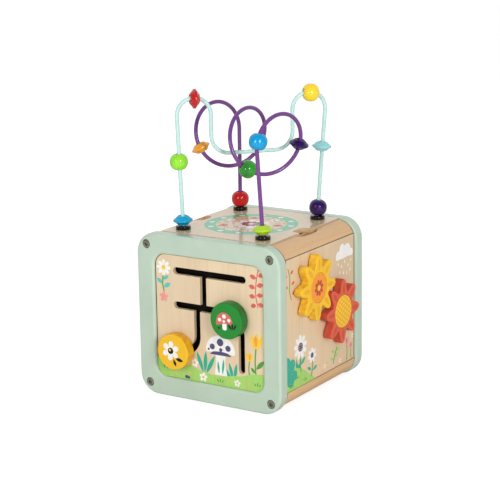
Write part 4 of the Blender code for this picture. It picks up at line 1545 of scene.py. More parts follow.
    def artwork(self) -> None:
        """Prints the right side: a cloud with drops, a bush, daisies, tulips and sand."""
        art = Print(self.shop, "right_print", "box", self.side_out)
        art.ink(TEAL, *Motif.fan((-58, 34), (66, 90, 114), 22, 4.6))
        art.ink(GRASS, Motif.hill([(-81, 40), (-62, 49), (-44, 44), (-28, 33), (-14, 24.6)], 24.2))
        bush = [(0, 0, 9), (-6, 9, 8), (4, 17, 7), (-7, 22, 6.5), (9, 3, 6)]
        art.ink(TEAL, Motif.puff(bush, (-72, 38), -13.6))
        art.ink(SKY, *Pencil.dots(1, 12, (-76, 52), (-68, 44), (-72, 33), (-66, 57)))
        stems = ([(-48, 42), (-50, 54), (-49, 68)], [(-24, 30), (-21, 42), (-22, 52)])
        art.ink(LEAF, *Motif.strokes(1.8, *stems))
        leaves = [Motif.leaf((-48.4, 50), 35, 13, 5), Motif.leaf((-51.2, 47), 140, 11, 4.6)]
        leaves += [Motif.leaf((-20.6, 36), 20, 11, 4.2), Motif.leaf((-24.4, 38), 155, 10, 4)]
        art.ink(TEAL, *leaves)
        large, small = (-49, 72), (-22, 55)
        art.ink(SNOW, Motif.rosette(large, 15, 9, 0.42, 12), Motif.rosette(small, 9.5, 7, 0.4, 90))
        art.ink(INDIGO, Pencil.circle(large, 5.4), Pencil.circle(small, 3.4, 24))
        art.ink(SUNNY, *Pencil.dots(0.75, 10, *Pencil.ring(large, 3.2, range(0, 360, 60))))
        art.ink(LEAF, *Motif.strokes(1.6, [(29, 31), (33, 41), (38, 49)]))
        twigs = [(29.5, 35.5, 160), (33, 38, 20), (32, 43.5, 150), (36.8, 44.5, 15)]
        art.ink(GRASS, *Motif.leaves(9, 4.2, *twigs))
        stems = Motif.strokes(1.4, [(62, 26), (63.5, 36), (62.5, 47)])
        stems += Motif.strokes(1.3, [(74, 26), (72.5, 32), (73, 39)])
        art.ink(LEAF, *stems)
        art.ink(PINK, Motif.tulip((62.5, 46), 9, 10, -4), Motif.tulip((73, 38.5), 7.4, 8.4, 6))
        art.ink(ROSE, Motif.leaf((62.5, 47), 88, 8, 3), Motif.leaf((73, 39.4), 92, 6.6, 2.5))
        cloud = [(0, 0, 9.5), (-11, -2, 7), (9.5, 3, 8), (18.5, -2, 5.5), (-2.5, 6, 6.5)]
        art.ink(SNOW, Motif.puff(cloud, (54, 163), -5.8))
        drops = [(42, 152), (50, 148), (58, 152.5), (66, 147), (73, 152), (46, 141), (55, 139)]
        drops += [(63, 137.5), (71, 140)]
        art.ink(SNOW, *[Motif.leaf((u, v + 2.6), -92, 5.2, 2.1, 1.5) for u, v in drops])
        buds = ((46, 30), (8, 33), (77, 54))
        art.ink(CREAM, *[Motif.rosette(spot, 3.2, 5, 0.4, 90) for spot in buds])
        art.ink(APRICOT, *Pencil.dots(0.95, 12, *buds))
        grains = [(20, 28.5), (14, 36), (53, 37), (50, 48), (40, 27.5), (3, 27.5), (-4, 37)]
        art.ink(SAND, *Pencil.dots(1.1, 10, *grains))
        art.ink(MOSS, *Motif.tufts((-70, 27, 5), (-39, 28, 4.4), (-56, 35, 4)))
        art.ink(LEAF, *Motif.strokes(1.2, [(-76, 172), (-72, 160), (-73, 146), (-69, 134)]))
        berries = [(-70.6, 165, 25), (-78, 163, 160), (-68, 152, 20), (-76.6, 150, 165)]
        art.ink(ROSE, *Motif.leaves(7, 3.4, *berries, (-66.6, 140, 30)))
        art.press(Side.RIGHT.at())

    def build(self, holes: dict[Side, list[Point]]) -> None:
        """Makes the whole case.

        Args:
            holes: where its side panels are drilled.
        """
        self.frame("front", Side.FRONT)
        self.frame("rear", Side.BACK)
        self.bolts()
        self.rails()
        self.side_panels(holes)
        self.artwork()
        self.shop.refinish(MAPLE_BASE, "base")


@dataclass
class SlotMaze(Board):
    """The front panel with its joined slots, and the two knobs that slide in them."""

    slot: float = 8.5  # the slots' width
    slack: float = 0.35  # how much narrower a knob's pin is, on each side
    bend_centre: Point = (16.5, 87)  # the middle of the right-hand bend
    bend_r: float = 28  # its radius
    hook_centre: Point = (-37.9, 80)  # the middle of the left-hand hook
    hook_r: float = 20.4  # its radius
    knob_r: float = 22.1  # a knob's radius
    knob_low: float = 96.5  # how far a knob's back stands from the cube's middle
    knob_high: float = 110  # how far its face does
    knob_end: float = 86.8  # how far the end of its pin does

    def paths(self) -> list[Loop]:
        """The middle lines of the four slots."""
        bend = Pencil.arc(self.bend_centre, self.bend_r, 90, 0, 24)
        hook = Pencil.arc(self.hook_centre, self.hook_r, 0, -113, 26)
        return [
            [(-46, 157), (47, 157)],
            [(-8, 157), (-8, 115)],
            [(-46, 115), *bend, (44.5, 48)],
            [(-17.5, 115), *hook],
        ]

    def panel(self) -> None:
        """Makes the front panel and cuts the slots, with eased edges."""
        bench, high, (_, mid) = self.bench, self.high, self.middle
        panel = self.board()
        for path in self.paths():
            outline = Pencil.thicken(path, self.slot / 2)
            bench.cut(panel, bench.slab([outline], self.low - OVER, high + OVER))
        reach = self.half - 2
        bench.bevel(
            panel, 0.6, 3, lambda m: m.z > high - 0.1 and max(abs(m.x), abs(m.y - mid)) < reach
        )
        self.fit(panel, Side.FRONT.at(), "maze_panel", "box", MAPLE, "panel_front")

    def knob(self, colour: str, spot: Point, finish: Finish) -> None:
        """Turns one knob, with the pin that runs in the slot.

        Args:
            colour: its colour.
            spot: its middle on the panel.
            finish: its finish.
        """
        low, high, pin = self.knob_low, self.knob_high, self.slot / 2 - self.slack
        corners = [
            (0, high, 0), (self.knob_r, high, 2.0), (self.knob_r, low, 1.0), (pin, low, 0),
            (pin, self.low, 0), (2.5, self.low, 0), (2.5, self.knob_end, 0.3),
            (0, self.knob_end, 0),
        ]
        knob, name = self.bench.spindle(corners, 72, 6), f"{colour}_knob"
        self.fit(knob, Side.FRONT.at(*spot), name, name, finish, f"knob_{colour}")

    def badge_green(self, spot: Point) -> None:
        """Prints a small spotted toadstool on the green knob.

        Args:
            spot: the knob's middle.
        """
        art = Print(self.shop, "green_knob_print", "green_knob", self.knob_high)
        stalk = [(-4.4, -1), (-4.8, -6), (-4, -10.5), (0.6, -10.5), (1.2, -6), (0.8, -1)]
        art.ink(SNOW, Motif.hill(stalk, 0))
        art.ink(ROSE, Motif.cap((-2, -3.4), 23, 13.5, 6))
        spots = ((-8.4, 0.8, 2.3), (-2.2, 5.4, 2.6), (-2.6, -0.6, 1.7), (4.4, 1.4, 2.2))
        art.ink(SNOW, *[Pencil.circle((u, v), radius, 20) for u, v, radius in spots])
        blades = Motif.fan((9.4, -11.5), (62, 94, 126), 8.5, 2.4)
        art.ink(JET, *blades, Pencil.circle((-9.4, -9.2), 1.3, 16))
        art.press(Side.FRONT.at(*spot))

    def badge_yellow(self, spot: Point) -> None:
        """Prints a daisy with dark leaves on the yellow knob.

        Args:
            spot: the knob's middle.
        """
        art = Print(self.shop, "yellow_knob_print", "yellow_knob", self.knob_high)
        art.ink(JET, Motif.leaf((4.5, -7), -12, 11, 4.4), Motif.leaf((1.5, -8.5), -68, 9, 3.8))
        art.ink(SNOW, Motif.rosette((-2.5, 1.5), 12, 6, 0.34, 24))
        art.ink(JET, Pencil.circle((-2.5, 1.5), 3.9))
        art.ink(SUNNY, Pencil.circle((-3.4, 2.4), 1.5, 18))
        art.press(Side.FRONT.at(*spot))

    def artwork(self) -> None:
        """Prints the panel: grass, a white toadstool, tulips, daisies and a coral sprig."""
        art = Print(self.shop, "front_print", "box", self.high)
        # painted shadow: a dark ring along the frame's opening edge
        edges = [(76.7, 15.7, 100), (75.0, 14.0, 100.4)]
        art.ink(OPENING_SHADOW_INK, *[Pencil.rounded(half, half, r, (0, v), 12) for half, r, v in edges])
        blades = Motif.fan((-8, 32), (62, 86, 110), 27, 5.4)
        art.ink(TEAL, *blades, *Motif.fan((33, 30), (80, 104, 128), 21, 4.6))
        stems = Motif.strokes(1.8, [(64, 42), (63, 60), (64.5, 79)])
        art.ink(LEAF, *stems, *Motif.strokes(1.5, [(55.4, 40), (54.2, 51), (55.5, 62)]))
        art.ink(LEAF, Motif.leaf((64.4, 52), 46, 16, 5.6), Motif.leaf((62.4, 47), 128, 8, 4))
        ground = [(-76, 46), (-58, 49), (-34, 45), (-12, 38), (12, 36), (32, 39), (44, 40.5)]
        art.ink(GRASS, Motif.hill([*ground, (58, 45), (76, 47)], 24.2))
        stalk = [(6.5, 40), (8.6, 52), (9, 67), (21, 67), (21.4, 52), (23.5, 40)]
        art.ink(SNOW, Motif.hill(stalk, 37))
        gills = [(0.5, 62.5), (6, 65.5), (15, 67), (24, 65.5), (29.5, 62.5)]
        art.ink(INDIGO, Motif.hill(gills, 61.5))
        art.ink(SNOW, Motif.cap((15, 66), 41, 20))
        spots = [(3.5, 71, 3.6), (14.6, 77.4, 4.6), (25.6, 71.4, 3.7), (15.4, 68.4, 2.3)]
        spots += [(-1.6, 67.2, 1.5)]
        art.ink(INDIGO, *[Pencil.circle((u, v), radius, 24) for u, v, radius in spots])
        art.ink(TEAL, Motif.leaf((12.6, 39), 96, 15, 3), Motif.leaf((17.4, 38.6), 84, 19, 3))
        art.ink(SUNNY, Motif.tulip((64.6, 77), 15, 18, -3), Motif.tulip((55.4, 60.5), 9, 11, 5))
        art.ink(APRICOT, Motif.leaf((64.6, 79), 92, 14, 5), Motif.leaf((55.4, 61.5), 86, 8.4, 3))
        art.ink(LEAF, *Motif.strokes(1.5, [(-64, 130), (-66, 140), (-64.4, 151)]))
        leaves = [Motif.leaf((-66.2, 139.5), 146, 9.5, 5), Motif.leaf((-64.2, 135), 30, 11, 5.4)]
        art.ink(SKY, *leaves, Motif.leaf((-64.6, 144.5), 34, 9, 4.6))
        art.flowers(SUNNY, SNOW, 8, 90, (-64, 159, 10))
        art.flowers(APRICOT, PINK, 5, 90, (-64.5, 123, 6.4))
        art.ink(ROSE, *Motif.strokes(1.2, [(69, 172), (66, 158), (65, 142), (68, 127)]))
        twigs = [(68.6, 164, 24), (65.8, 161, 158), (66.6, 152.6, 16), (64.2, 149.6, 164)]
        twigs += [(66.4, 141.4, 6), (64.2, 139, 172), (68, 131.4, -14), (65.4, 129.6, 196)]
        sprig = [Motif.leaf((u, v), a, 9.6 - 0.3 * k, 5.4) for k, (u, v, a) in enumerate(twigs)]
        art.ink(ROSE, *sprig)
        art.flowers(SAND, SNOW, 5, 84, (-22, 47, 5.2), (-10, 31, 5.6), (38, 31, 4.4))
        art.ink(MOSS, *Motif.tufts((-63, 34, 6), (14, 28, 5.6), (66, 31, 5.4)))
        grains = [(-46, 36), (-40, 31.5), (-51, 29.5), (-28, 33), (26, 31.5), (52, 33.5)]
        art.ink(SAND, *Pencil.dots(1.5, 14, *grains, (57, 28.5), (48, 28)))
        art.ink(INDIGO, Motif.puff([(0, 0, 2.4), (3, -0.4, 1.9)], (-34, 27.4), -1.6))
        art.press(Side.FRONT.at())

    def build(self) -> None:
        """Makes the panel, its artwork and both knobs at their rest places."""
        self.panel()
        self.artwork()
        green = Pencil.polar(self.bend_centre, self.bend_r, 54)
        yellow = Pencil.polar(self.hook_centre, self.hook_r, -107)
        self.knob("green", green, KNOB_GREEN)
        self.knob("yellow", yellow, KNOB_YELLOW)
        self.badge_green(green)
        self.badge_yellow(yellow)
        self.shop.refinish(NYLON, "washer_green", "washer_yellow")
        self.shop.refinish(BOARD, "slot_backing")


@dataclass
class Gears(Section):
    """The two petal gears on the right side, their face discs and their axles."""

    low: float = 98.3  # how far a gear's back stands from the cube's middle
    high: float = 109.3  # how far its face does
    tip: float = 40  # its radius at the teeth's tips
    root: float = 25.3  # its radius in the valleys
    teeth: int = 8  # how many teeth it has
    tip_drop: float = 0.8  # how much a tooth's crown falls to its sides
    tooth_top: float = 0.12  # the share of half a pitch that the crown has
    flank: float = 0.78  # the share that the flank has
    sun: Point = (-26, 140)  # the middle of the sun gear
    apart: float = 73  # the distance between the middles
    slope: float = -36  # the angle of the line between them
    disc_t: float = 1.5  # the thickness of the discs
    axle_in: float = 91.5  # how far an axle's inner end stands from the cube's middle

    @property
    def flower(self) -> Point:
        """The flower gear's middle."""
        return Pencil.polar(self.sun, self.apart, self.slope)

    @property
    def phase(self) -> float:
        """The angle of the first tooth, which meets a valley of the other gear."""
        return self.slope - 90 / self.teeth

    def outline(self) -> Loop:
        """Draws the round teeth.

        Returns:
            The points in order.
        """
        points, steps = [], 28
        for k in range(self.teeth * steps):
            share = (k % steps) / (steps / 2)
            share = share if share <= 1 else share - 2
            fall = min(max((abs(share) - self.tooth_top) / self.flank, 0), 1)
            rise = 1 - fall * fall * (3 - 2 * fall)
            crown = self.tip_drop * min(abs(share) / self.tooth_top, 1) ** 2
            reach = self.root + (self.tip - self.root - crown) * rise
            angle = math.radians(self.phase + k * 45 / steps)
            points.append((reach * math.cos(angle), reach * math.sin(angle)))
        return points

    def gear(self, label: str, spot: Point, disc_r: float, paint: Finish, face: Finish) -> None:
        """Makes one gear with its inlaid disc and its axle.

        Args:
            label: its name.
            spot: its middle on the right side.
            disc_r: the radius of its disc.
            paint: the gear's finish.
            face: the disc's finish.
        """
        bench, high, place = self.bench, self.high, Side.RIGHT.at(*spot)
        floor = high - self.disc_t - SEAT
        head = floor - 2 - 2 * SEAT
        body = bench.slab([self.outline()], self.low, high)
        bench.bevel(body, 1.2, 4)
        well = [
            (0, high + OVER), (disc_r + 0.9, high + OVER), (disc_r + SEAT, high - 0.25),
            (disc_r + SEAT, floor), (7.3, floor), (7.3, head), (4.3, head),
            (4.3, self.low - OVER), (0, self.low - OVER),
        ]
        bench.cut(body, bench.revolve(well, 64))
        moving = f"{label}_gear"
        self.fit(body, place, f"{label}_petals", moving, paint, f"gear_{label}", angle=40)
        back = floor + SEAT
        corners = [(0, high, 0), (disc_r, high, 0.5), (disc_r, back, 0.1), (0, back, 0)]
        disc = bench.spindle(corners, 64)
        self.fit(disc, place, f"{label}_face", moving, face, f"disc_{label}")
        under = head + SEAT
        corners = [
            (0, under + 2, 0), (7, under + 2, 0.4), (7, under, 0.1), (4, under, 0),
            (4, self.axle_in, 0.3), (0, self.axle_in, 0),
        ]
        axle = bench.spindle(corners, 40)
        self.fit(axle, place, f"{label}_axle", "box", AXLE_STEEL, f"axle_{label}")

    def petal_shades(self, inner: float, length: float) -> list[Loop]:
        """Draws a long drop on each tooth, pointing in.

        Args:
            inner: how far its inner end is from the middle.
            length: its length.

        Returns:
            The drops.
        """
        headings = [self.phase + 45 * k for k in range(self.teeth)]
        bases = Pencil.ring((0, 0), inner, headings)
        return [Motif.leaf(base, a, length, 5.4, 0.8) for base, a in zip(bases, headings)]

    def artwork(self) -> None:
        """Prints petal shades, dots on the orange disc and a lattice on the amber one."""
        art = Print(self.shop, "sun_print", "sun_gear", self.high)
        art.ink(SUN_PETAL, *self.petal_shades(20, 15))
        art.ink(SUN_SHADE, *Pencil.dots(1.1, 12, *Pencil.ring((0, 0), 14.4, range(0, 360, 30))))
        art.ink(CORAL_SHADE, Motif.rosette((0, 0), 10, 8, 0.5, 11))
        art.ink(SUNNY, Pencil.circle((0, 0), 3.6, 24))
        art.press(Side.RIGHT.at(*self.sun))
        art = Print(self.shop, "flower_print", "flower_gear", self.high)
        art.ink(CORAL_PETAL, *self.petal_shades(22, 14))
        for lean in (36, 144):
            bars = []
            for away in (5.2 * k for k in range(-3, 4)):
                half = math.sqrt(18.6 ** 2 - away ** 2)
                bar = Pencil.thicken([(-half, away), (half, away)], 0.5, 3)
                bars.append(Motif.moved(bar, (0, 0), lean))
            art.ink(SUN_SHADE, *bars)
        art.press(Side.RIGHT.at(*self.flower))

    def build(self) -> None:
        """Makes both gears and their artwork."""
        self.gear("sun", self.sun, 18, SUN_YELLOW, SUN_ORANGE)
        self.gear("flower", self.flower, 20, CORAL, AMBER)
        self.artwork()


@dataclass
class Clock(Section):
    """The play clock on the left side."""

    centre: Point = (0, 106)  # its middle on the left side
    panel_out: float = 97  # how far the side panel's outer face stands from the cube's middle
    bore: float = 4.3  # the radius of the holes in the dial and the hands
    dial_r: float = 62  # the dial's radius
    dial_low: float = 97.3  # how far the dial's back stands from the cube's middle
    dial_high: float = 100.3  # how far its face does
    hour_low: float = 100.8  # how far the back of the hour hand does
    minute_low: float = 103.8  # how far the back of the minute hand does
    hand_t: float = 2.5  # the thickness of the hands
    head_low: float = 106.8  # how far the back of the pin's head stands from the cube's middle
    top: float = 109.3  # how far its face does
    pin_in: float = 91.5  # how far the pin's inner end does

    def hand(
        self, label: str, length: float, width: float, low: float, turn: float, finish: Finish
    ) -> None:
        """Makes one hand with a round hub and a tapering blade.

        Args:
            label: its name.
            length: from the pin to its tip.
            width: its width at the hub.
            low: the height of its lower face.
            turn: degrees back from twelve o'clock.
            finish: its finish.
        """
        hub, tip = 9.5, width * 0.3
        spread = math.degrees(math.asin(width / 2 / hub))
        outline = Pencil.arc((0, 0), hub, 90 + spread, 450 - spread, 40)
        outline += Pencil.arc((0, length - tip), tip, 0, 180, 10)
        hand = self.bench.slab([outline], low, low + self.hand_t)
        self.bench.bevel(hand, 0.5, 3)
        self.bench.drill(hand, (0, 0), self.bore, 32, low, low + 3)
        place, name = Side.LEFT.at(*self.centre, turn=turn), f"{label}_hand"
        self.fit(hand, place, name, name, finish, f"clock_hand_{label}")

    def dial(self) -> None:
        """Makes the dial and prints its ring, dots and figures."""
        low, high, outer, bore = self.dial_low, self.dial_high, self.dial_r, self.bore
        ring = [(bore, high, 0.2), (outer, high, 0.8), (outer, low, 0.2), (bore, low, 0.1)]
        dial, place = self.bench.revolve(Pencil.soften(ring), 96, True), Side.LEFT.at(*self.centre)
        self.fit(dial, place, "dial", "box", DIAL_WHITE, "clock_dial")
        art = Print(self.shop, "dial_print", "box", high)
        art.ink(MINT_RING, Pencil.circle((0, 0), 59, 96), Pencil.circle((0, 0), 54.5, 96))
        minutes = [6 * k for k in range(60) if k % 5]
        art.ink(INDIGO, *Pencil.dots(0.55, 8, *Pencil.ring((0, 0), 51.6, minutes)))
        art.ink(ROSE, *Pencil.dots(1.3, 14, *Pencil.ring((0, 0), 51.6, range(0, 360, 30))))
        art.ink(SKY, Motif.rosette((0, 0), 24, 12, 0.72), Pencil.circle((0, 0), 15.4, 48))
        for hour in range(1, 13):
            art.figures(INDIGO, str(hour), Pencil.polar((0, 0), 41, 90 - 30 * hour), 9.5)
        art.press(place)

    def artwork(self) -> None:
        """Prints the panel round the dial: grass, tulips, sprigs and small flowers."""
        art = Print(self.shop, "left_print", "box", self.panel_out)
        ground = [(-81, 40), (-60, 44), (-36, 38), (-10, 34), (20, 37), (48, 43), (81, 38)]
        art.ink(GRASS, Motif.hill(ground, 24.2))
        stems = ([(-68, 40), (-69, 50), (-68, 60)], [(69, 39), (70, 48), (69, 56)])
        art.ink(LEAF, *Motif.strokes(1.6, *stems))
        art.ink(LEAF, *Motif.leaves(11, 4.2, (-67, 44, 40), (68.4, 43, 140)))
        art.ink(SUNNY, Motif.tulip((-68, 59), 11, 12, 4), Motif.tulip((69, 55), 10, 11, -4))
        art.ink(APRICOT, Motif.leaf((-68, 60), 90, 9.4, 3.4), Motif.leaf((69, 56), 90, 8.6, 3.2))
        twigs = [(72, 177, 70), (70, 170.4, 250), (66, 173, 50), (64, 164.6, 230), (61, 166, 20)]
        twigs += [(58.6, 158, 250)]
        for mirror in (-1, 1):
            stem = [(mirror * u, v) for u, v in ((74, 176), (66, 170), (60, 160))]
            art.ink(ROSE, *Motif.strokes(1.1, stem))
            art.ink(ROSE, *Motif.leaves(7, 3.4, *Motif.mirrored(mirror, *twigs)))
            art.flowers(SUNNY, SNOW, 6, 90, (mirror * 72, 150, 5.4))
        art.flowers(SAND, SNOW, 5, 84, (-40, 32, 4.6), (4, 29, 4.6), (38, 34, 4.6))
        art.ink(MOSS, *Motif.tufts((-54, 31, 5), (-20, 28, 5), (60, 30, 5)))
        art.ink(SAND, *Pencil.dots(1.3, 12, (-28, 29), (18, 31), (26, 27.5), (50, 28)))
        art.press(Side.LEFT.at())

    def build(self) -> None:
        """Makes the dial, the hands and the pin, and prints the panel."""
        self.dial()
        self.hand("hour", 32, 9, self.hour_low, 60, HAND_GREEN)
        self.hand("minute", 46, 7, self.minute_low, -60, HAND_CORAL)
        corners = [
            (0, self.top, 0), (7, self.top, 1.6), (7, self.head_low, 0.3), (4, self.head_low, 0),
            (4, self.pin_in, 0.3), (0, self.pin_in, 0),
        ]
        pin, place = self.bench.spindle(corners, 40), Side.LEFT.at(*self.centre)
        self.fit(pin, place, "clock_peg", "box", PIN_YELLOW, "clock_pin")
        self.artwork()


@dataclass
class Rollers(Board):
    """The back panel's window and the three blocks that turn on a rod in it."""

    block: float = 30  # the width of a block's faces
    long: float = 33  # a block's length along the rod
    gap: float = 1.5  # the gap between blocks
    v: float = 108  # the rod's height
    rod_w: float = 77  # how far the rod stands from the cube's middle
    rod_r: float = 3  # its radius
    bore: float = 3.3  # the radius of the blocks' bores

    def panel(self, wide: float, tall: float) -> None:
        """Makes the back panel with its window.

        Args:
            wide: half of the window's width.
            tall: half of its height.
        """
        bench, high, v = self.bench, self.high, self.v
        panel = self.board()
        window = Pencil.rounded(wide, tall, 6, (0, v), 8)
        bench.cut(panel, bench.slab([window], self.low - OVER, high + OVER))
        bench.bevel(
            panel, 0.8, 3,
            lambda m: m.z > high - 0.1 and abs(m.x) < wide + 2 and abs(m.y - v) < tall + 2,
        )
        self.fit(panel, Side.BACK.at(), "rear_panel", "box", MAPLE, "panel_rear")

    def pictures(self, number: int) -> list[list[Loop]]:
        """Draws the plain shapes on a block.

        Args:
            number: the block's number, from 0.

        Returns:
            The outlines on each of its four faces.
        """
        heart = (0, 0)
        moon = Pencil.arc(heart, 9.4, 60, 300, 24) + Pencil.arc((4.2, 0), 8.2, 278, 82, 20)
        shapes = [
            [Motif.star(heart, 10.5)],
            [Pencil.circle(heart, 9), Pencil.circle(heart, 5)],
            [Motif.rosette(heart, 10, 6, 0.4, 90)],
            [Pencil.soften([(-9.5, -7.5, 1.5), (9.5, -7.5, 1.5), (0, 9, 1.5)], 4)],
            [Pencil.rounded(8, 8, 2, heart, 4)],
            [moon],
            [Motif.leaf((-10, 0), 0, 20, 11)],
            [Motif.star(heart, 10, 8)],
            [Motif.tulip((0, -8.5), 14, 16)],
            [Motif.cap((0, -4), 20, 12)],
            [Motif.puff([(0, 0, 6), (-6, -1, 4), (6, -1, 4.4)], heart, -3.6)],
            [Motif.leaf((0, 9.5), -90, 19, 12, 1.5)],
        ]
        return shapes[4 * number:4 * number + 4]

    def blocks(self, roll: Matrix) -> None:
        """Makes one block, and puts a copy with its own pictures on each place on the rod.

        Args:
            roll: the turn that lays a block along the rod.
        """
        bench, half, end = self.bench, self.block / 2, self.long / 2
        first = bench.slab([Pencil.rounded(half, half, 2, (0, 0), 5)], -end, end)
        bench.bevel(first, 1.2, 4)
        bench.cut(first, bench.slab([Pencil.circle((0, 0), self.bore, 24)], -self.long, self.long))
        bench.smooth(first)
        for number, finish in enumerate(BLOCK_PAINTS, 1):
            place = Side.BACK.at((number - 2) * (self.long + self.gap), self.v, self.rod_w)
            made = bench.place(bench.copy(first), place @ roll)
            body = f"rolling_{number}"
            self.shop.deliver(made, f"roller_{number}", body, finish, f"block_{number}")
            art = Print(self.shop, f"roller_print_{number}", body, half)
            for face, loops in enumerate(self.pictures(number - 1)):
                art.ink(CREAM if face % 2 else SNOW, *loops)
                bench.place(art.films[-1], Matrix.Rotation(math.radians(90 * face), 4, "X"))
            art.press(place)
        bench.scrap(first)

    def build(self) -> None:
        """Makes the panel, the rod and the blocks."""
        wide = 1.5 * self.long + self.gap + 3
        self.panel(wide, math.sqrt(2) * self.block / 2 + 1.5)
        roll = Matrix.Rotation(math.radians(90), 4, "Y")
        end, radius = wide + 8, self.rod_r
        corners = [(0, end, 0), (radius, end, 0.5), (radius, -end, 0.5), (0, -end, 0)]
        place = Side.BACK.at(0, self.v, self.rod_w) @ roll
        self.fit(self.bench.spindle(corners, 32), place, "rod", "box", BEECH_ROD, "block_rod")
        self.blocks(roll)
        self.artwork()
        self.shop.refinish(BEECH_ROD, "block_cheek_left", "block_cheek_right")

    def artwork(self) -> None:
        """Prints the back panel: grass, clouds, tulips and small flowers."""
        art = Print(self.shop, "rear_print", "box", self.high)
        ground = [(-79.2, 44), (-50, 50), (-20, 43), (14, 40), (46, 47), (79.2, 42)]
        art.ink(GRASS, Motif.hill(ground, 20.8))
        cloud = [(0, 0, 8), (-10, -2, 5.5), (9, -1, 6.5), (2, 5, 5)]
        art.ink(SNOW, Motif.puff(cloud, (-44, 156), -5), Motif.puff(cloud[:3], (36, 150), -4.6))
        art.ink(SUNNY, Motif.rosette((2, 158), 9, 12, 0.7))
        art.ink(APRICOT, Pencil.circle((2, 158), 5))
        stems = [[(-52, 46), (-53, 58), (-52, 68)], [(52, 44), (53, 56), (52, 66)]]
        art.ink(LEAF, *Motif.strokes(1.7, *stems, [(38, 44), (37, 52), (38, 59)]))
        leaves = [Motif.leaf((-51, 50), 38, 12, 4.6), Motif.leaf((-54.4, 52), 142, 10, 4)]
        art.ink(LEAF, *leaves, Motif.leaf((53.6, 49), 40, 12, 4.6))
        art.ink(ROSE, Motif.tulip((-52, 66), 11, 12.5, 3), Motif.tulip((52, 64), 12, 13.5, -4))
        art.ink(PINK, Motif.tulip((38, 58), 8, 9, 4))
        blades = Motif.fan((-12, 42), (60, 85, 112), 16, 4.4)
        art.ink(TEAL, *blades, *Motif.fan((10, 41), (64, 92, 120), 12, 4))
        art.flowers(SAND, SNOW, 5, 84, (-30, 38, 5), (-2, 34, 5), (24, 37, 5), (62, 36, 5))
        art.ink(MOSS, *Motif.tufts((-62, 32, 6), (12, 28, 5), (44, 30, 5.6)))
        art.ink(SAND, *Pencil.dots(1.4, 12, (-46, 33), (-16, 29), (32, 29), (54, 41)))
        twigs = ((69, 150, 70), (69, 143, 110), (69, 136, 70), (69, 129, 110))
        for mirror in (-1, 1):
            art.ink(ROSE, *Motif.leaves(8, 3.8, *Motif.mirrored(mirror, *twigs)))
        art.press(Side.BACK.at())


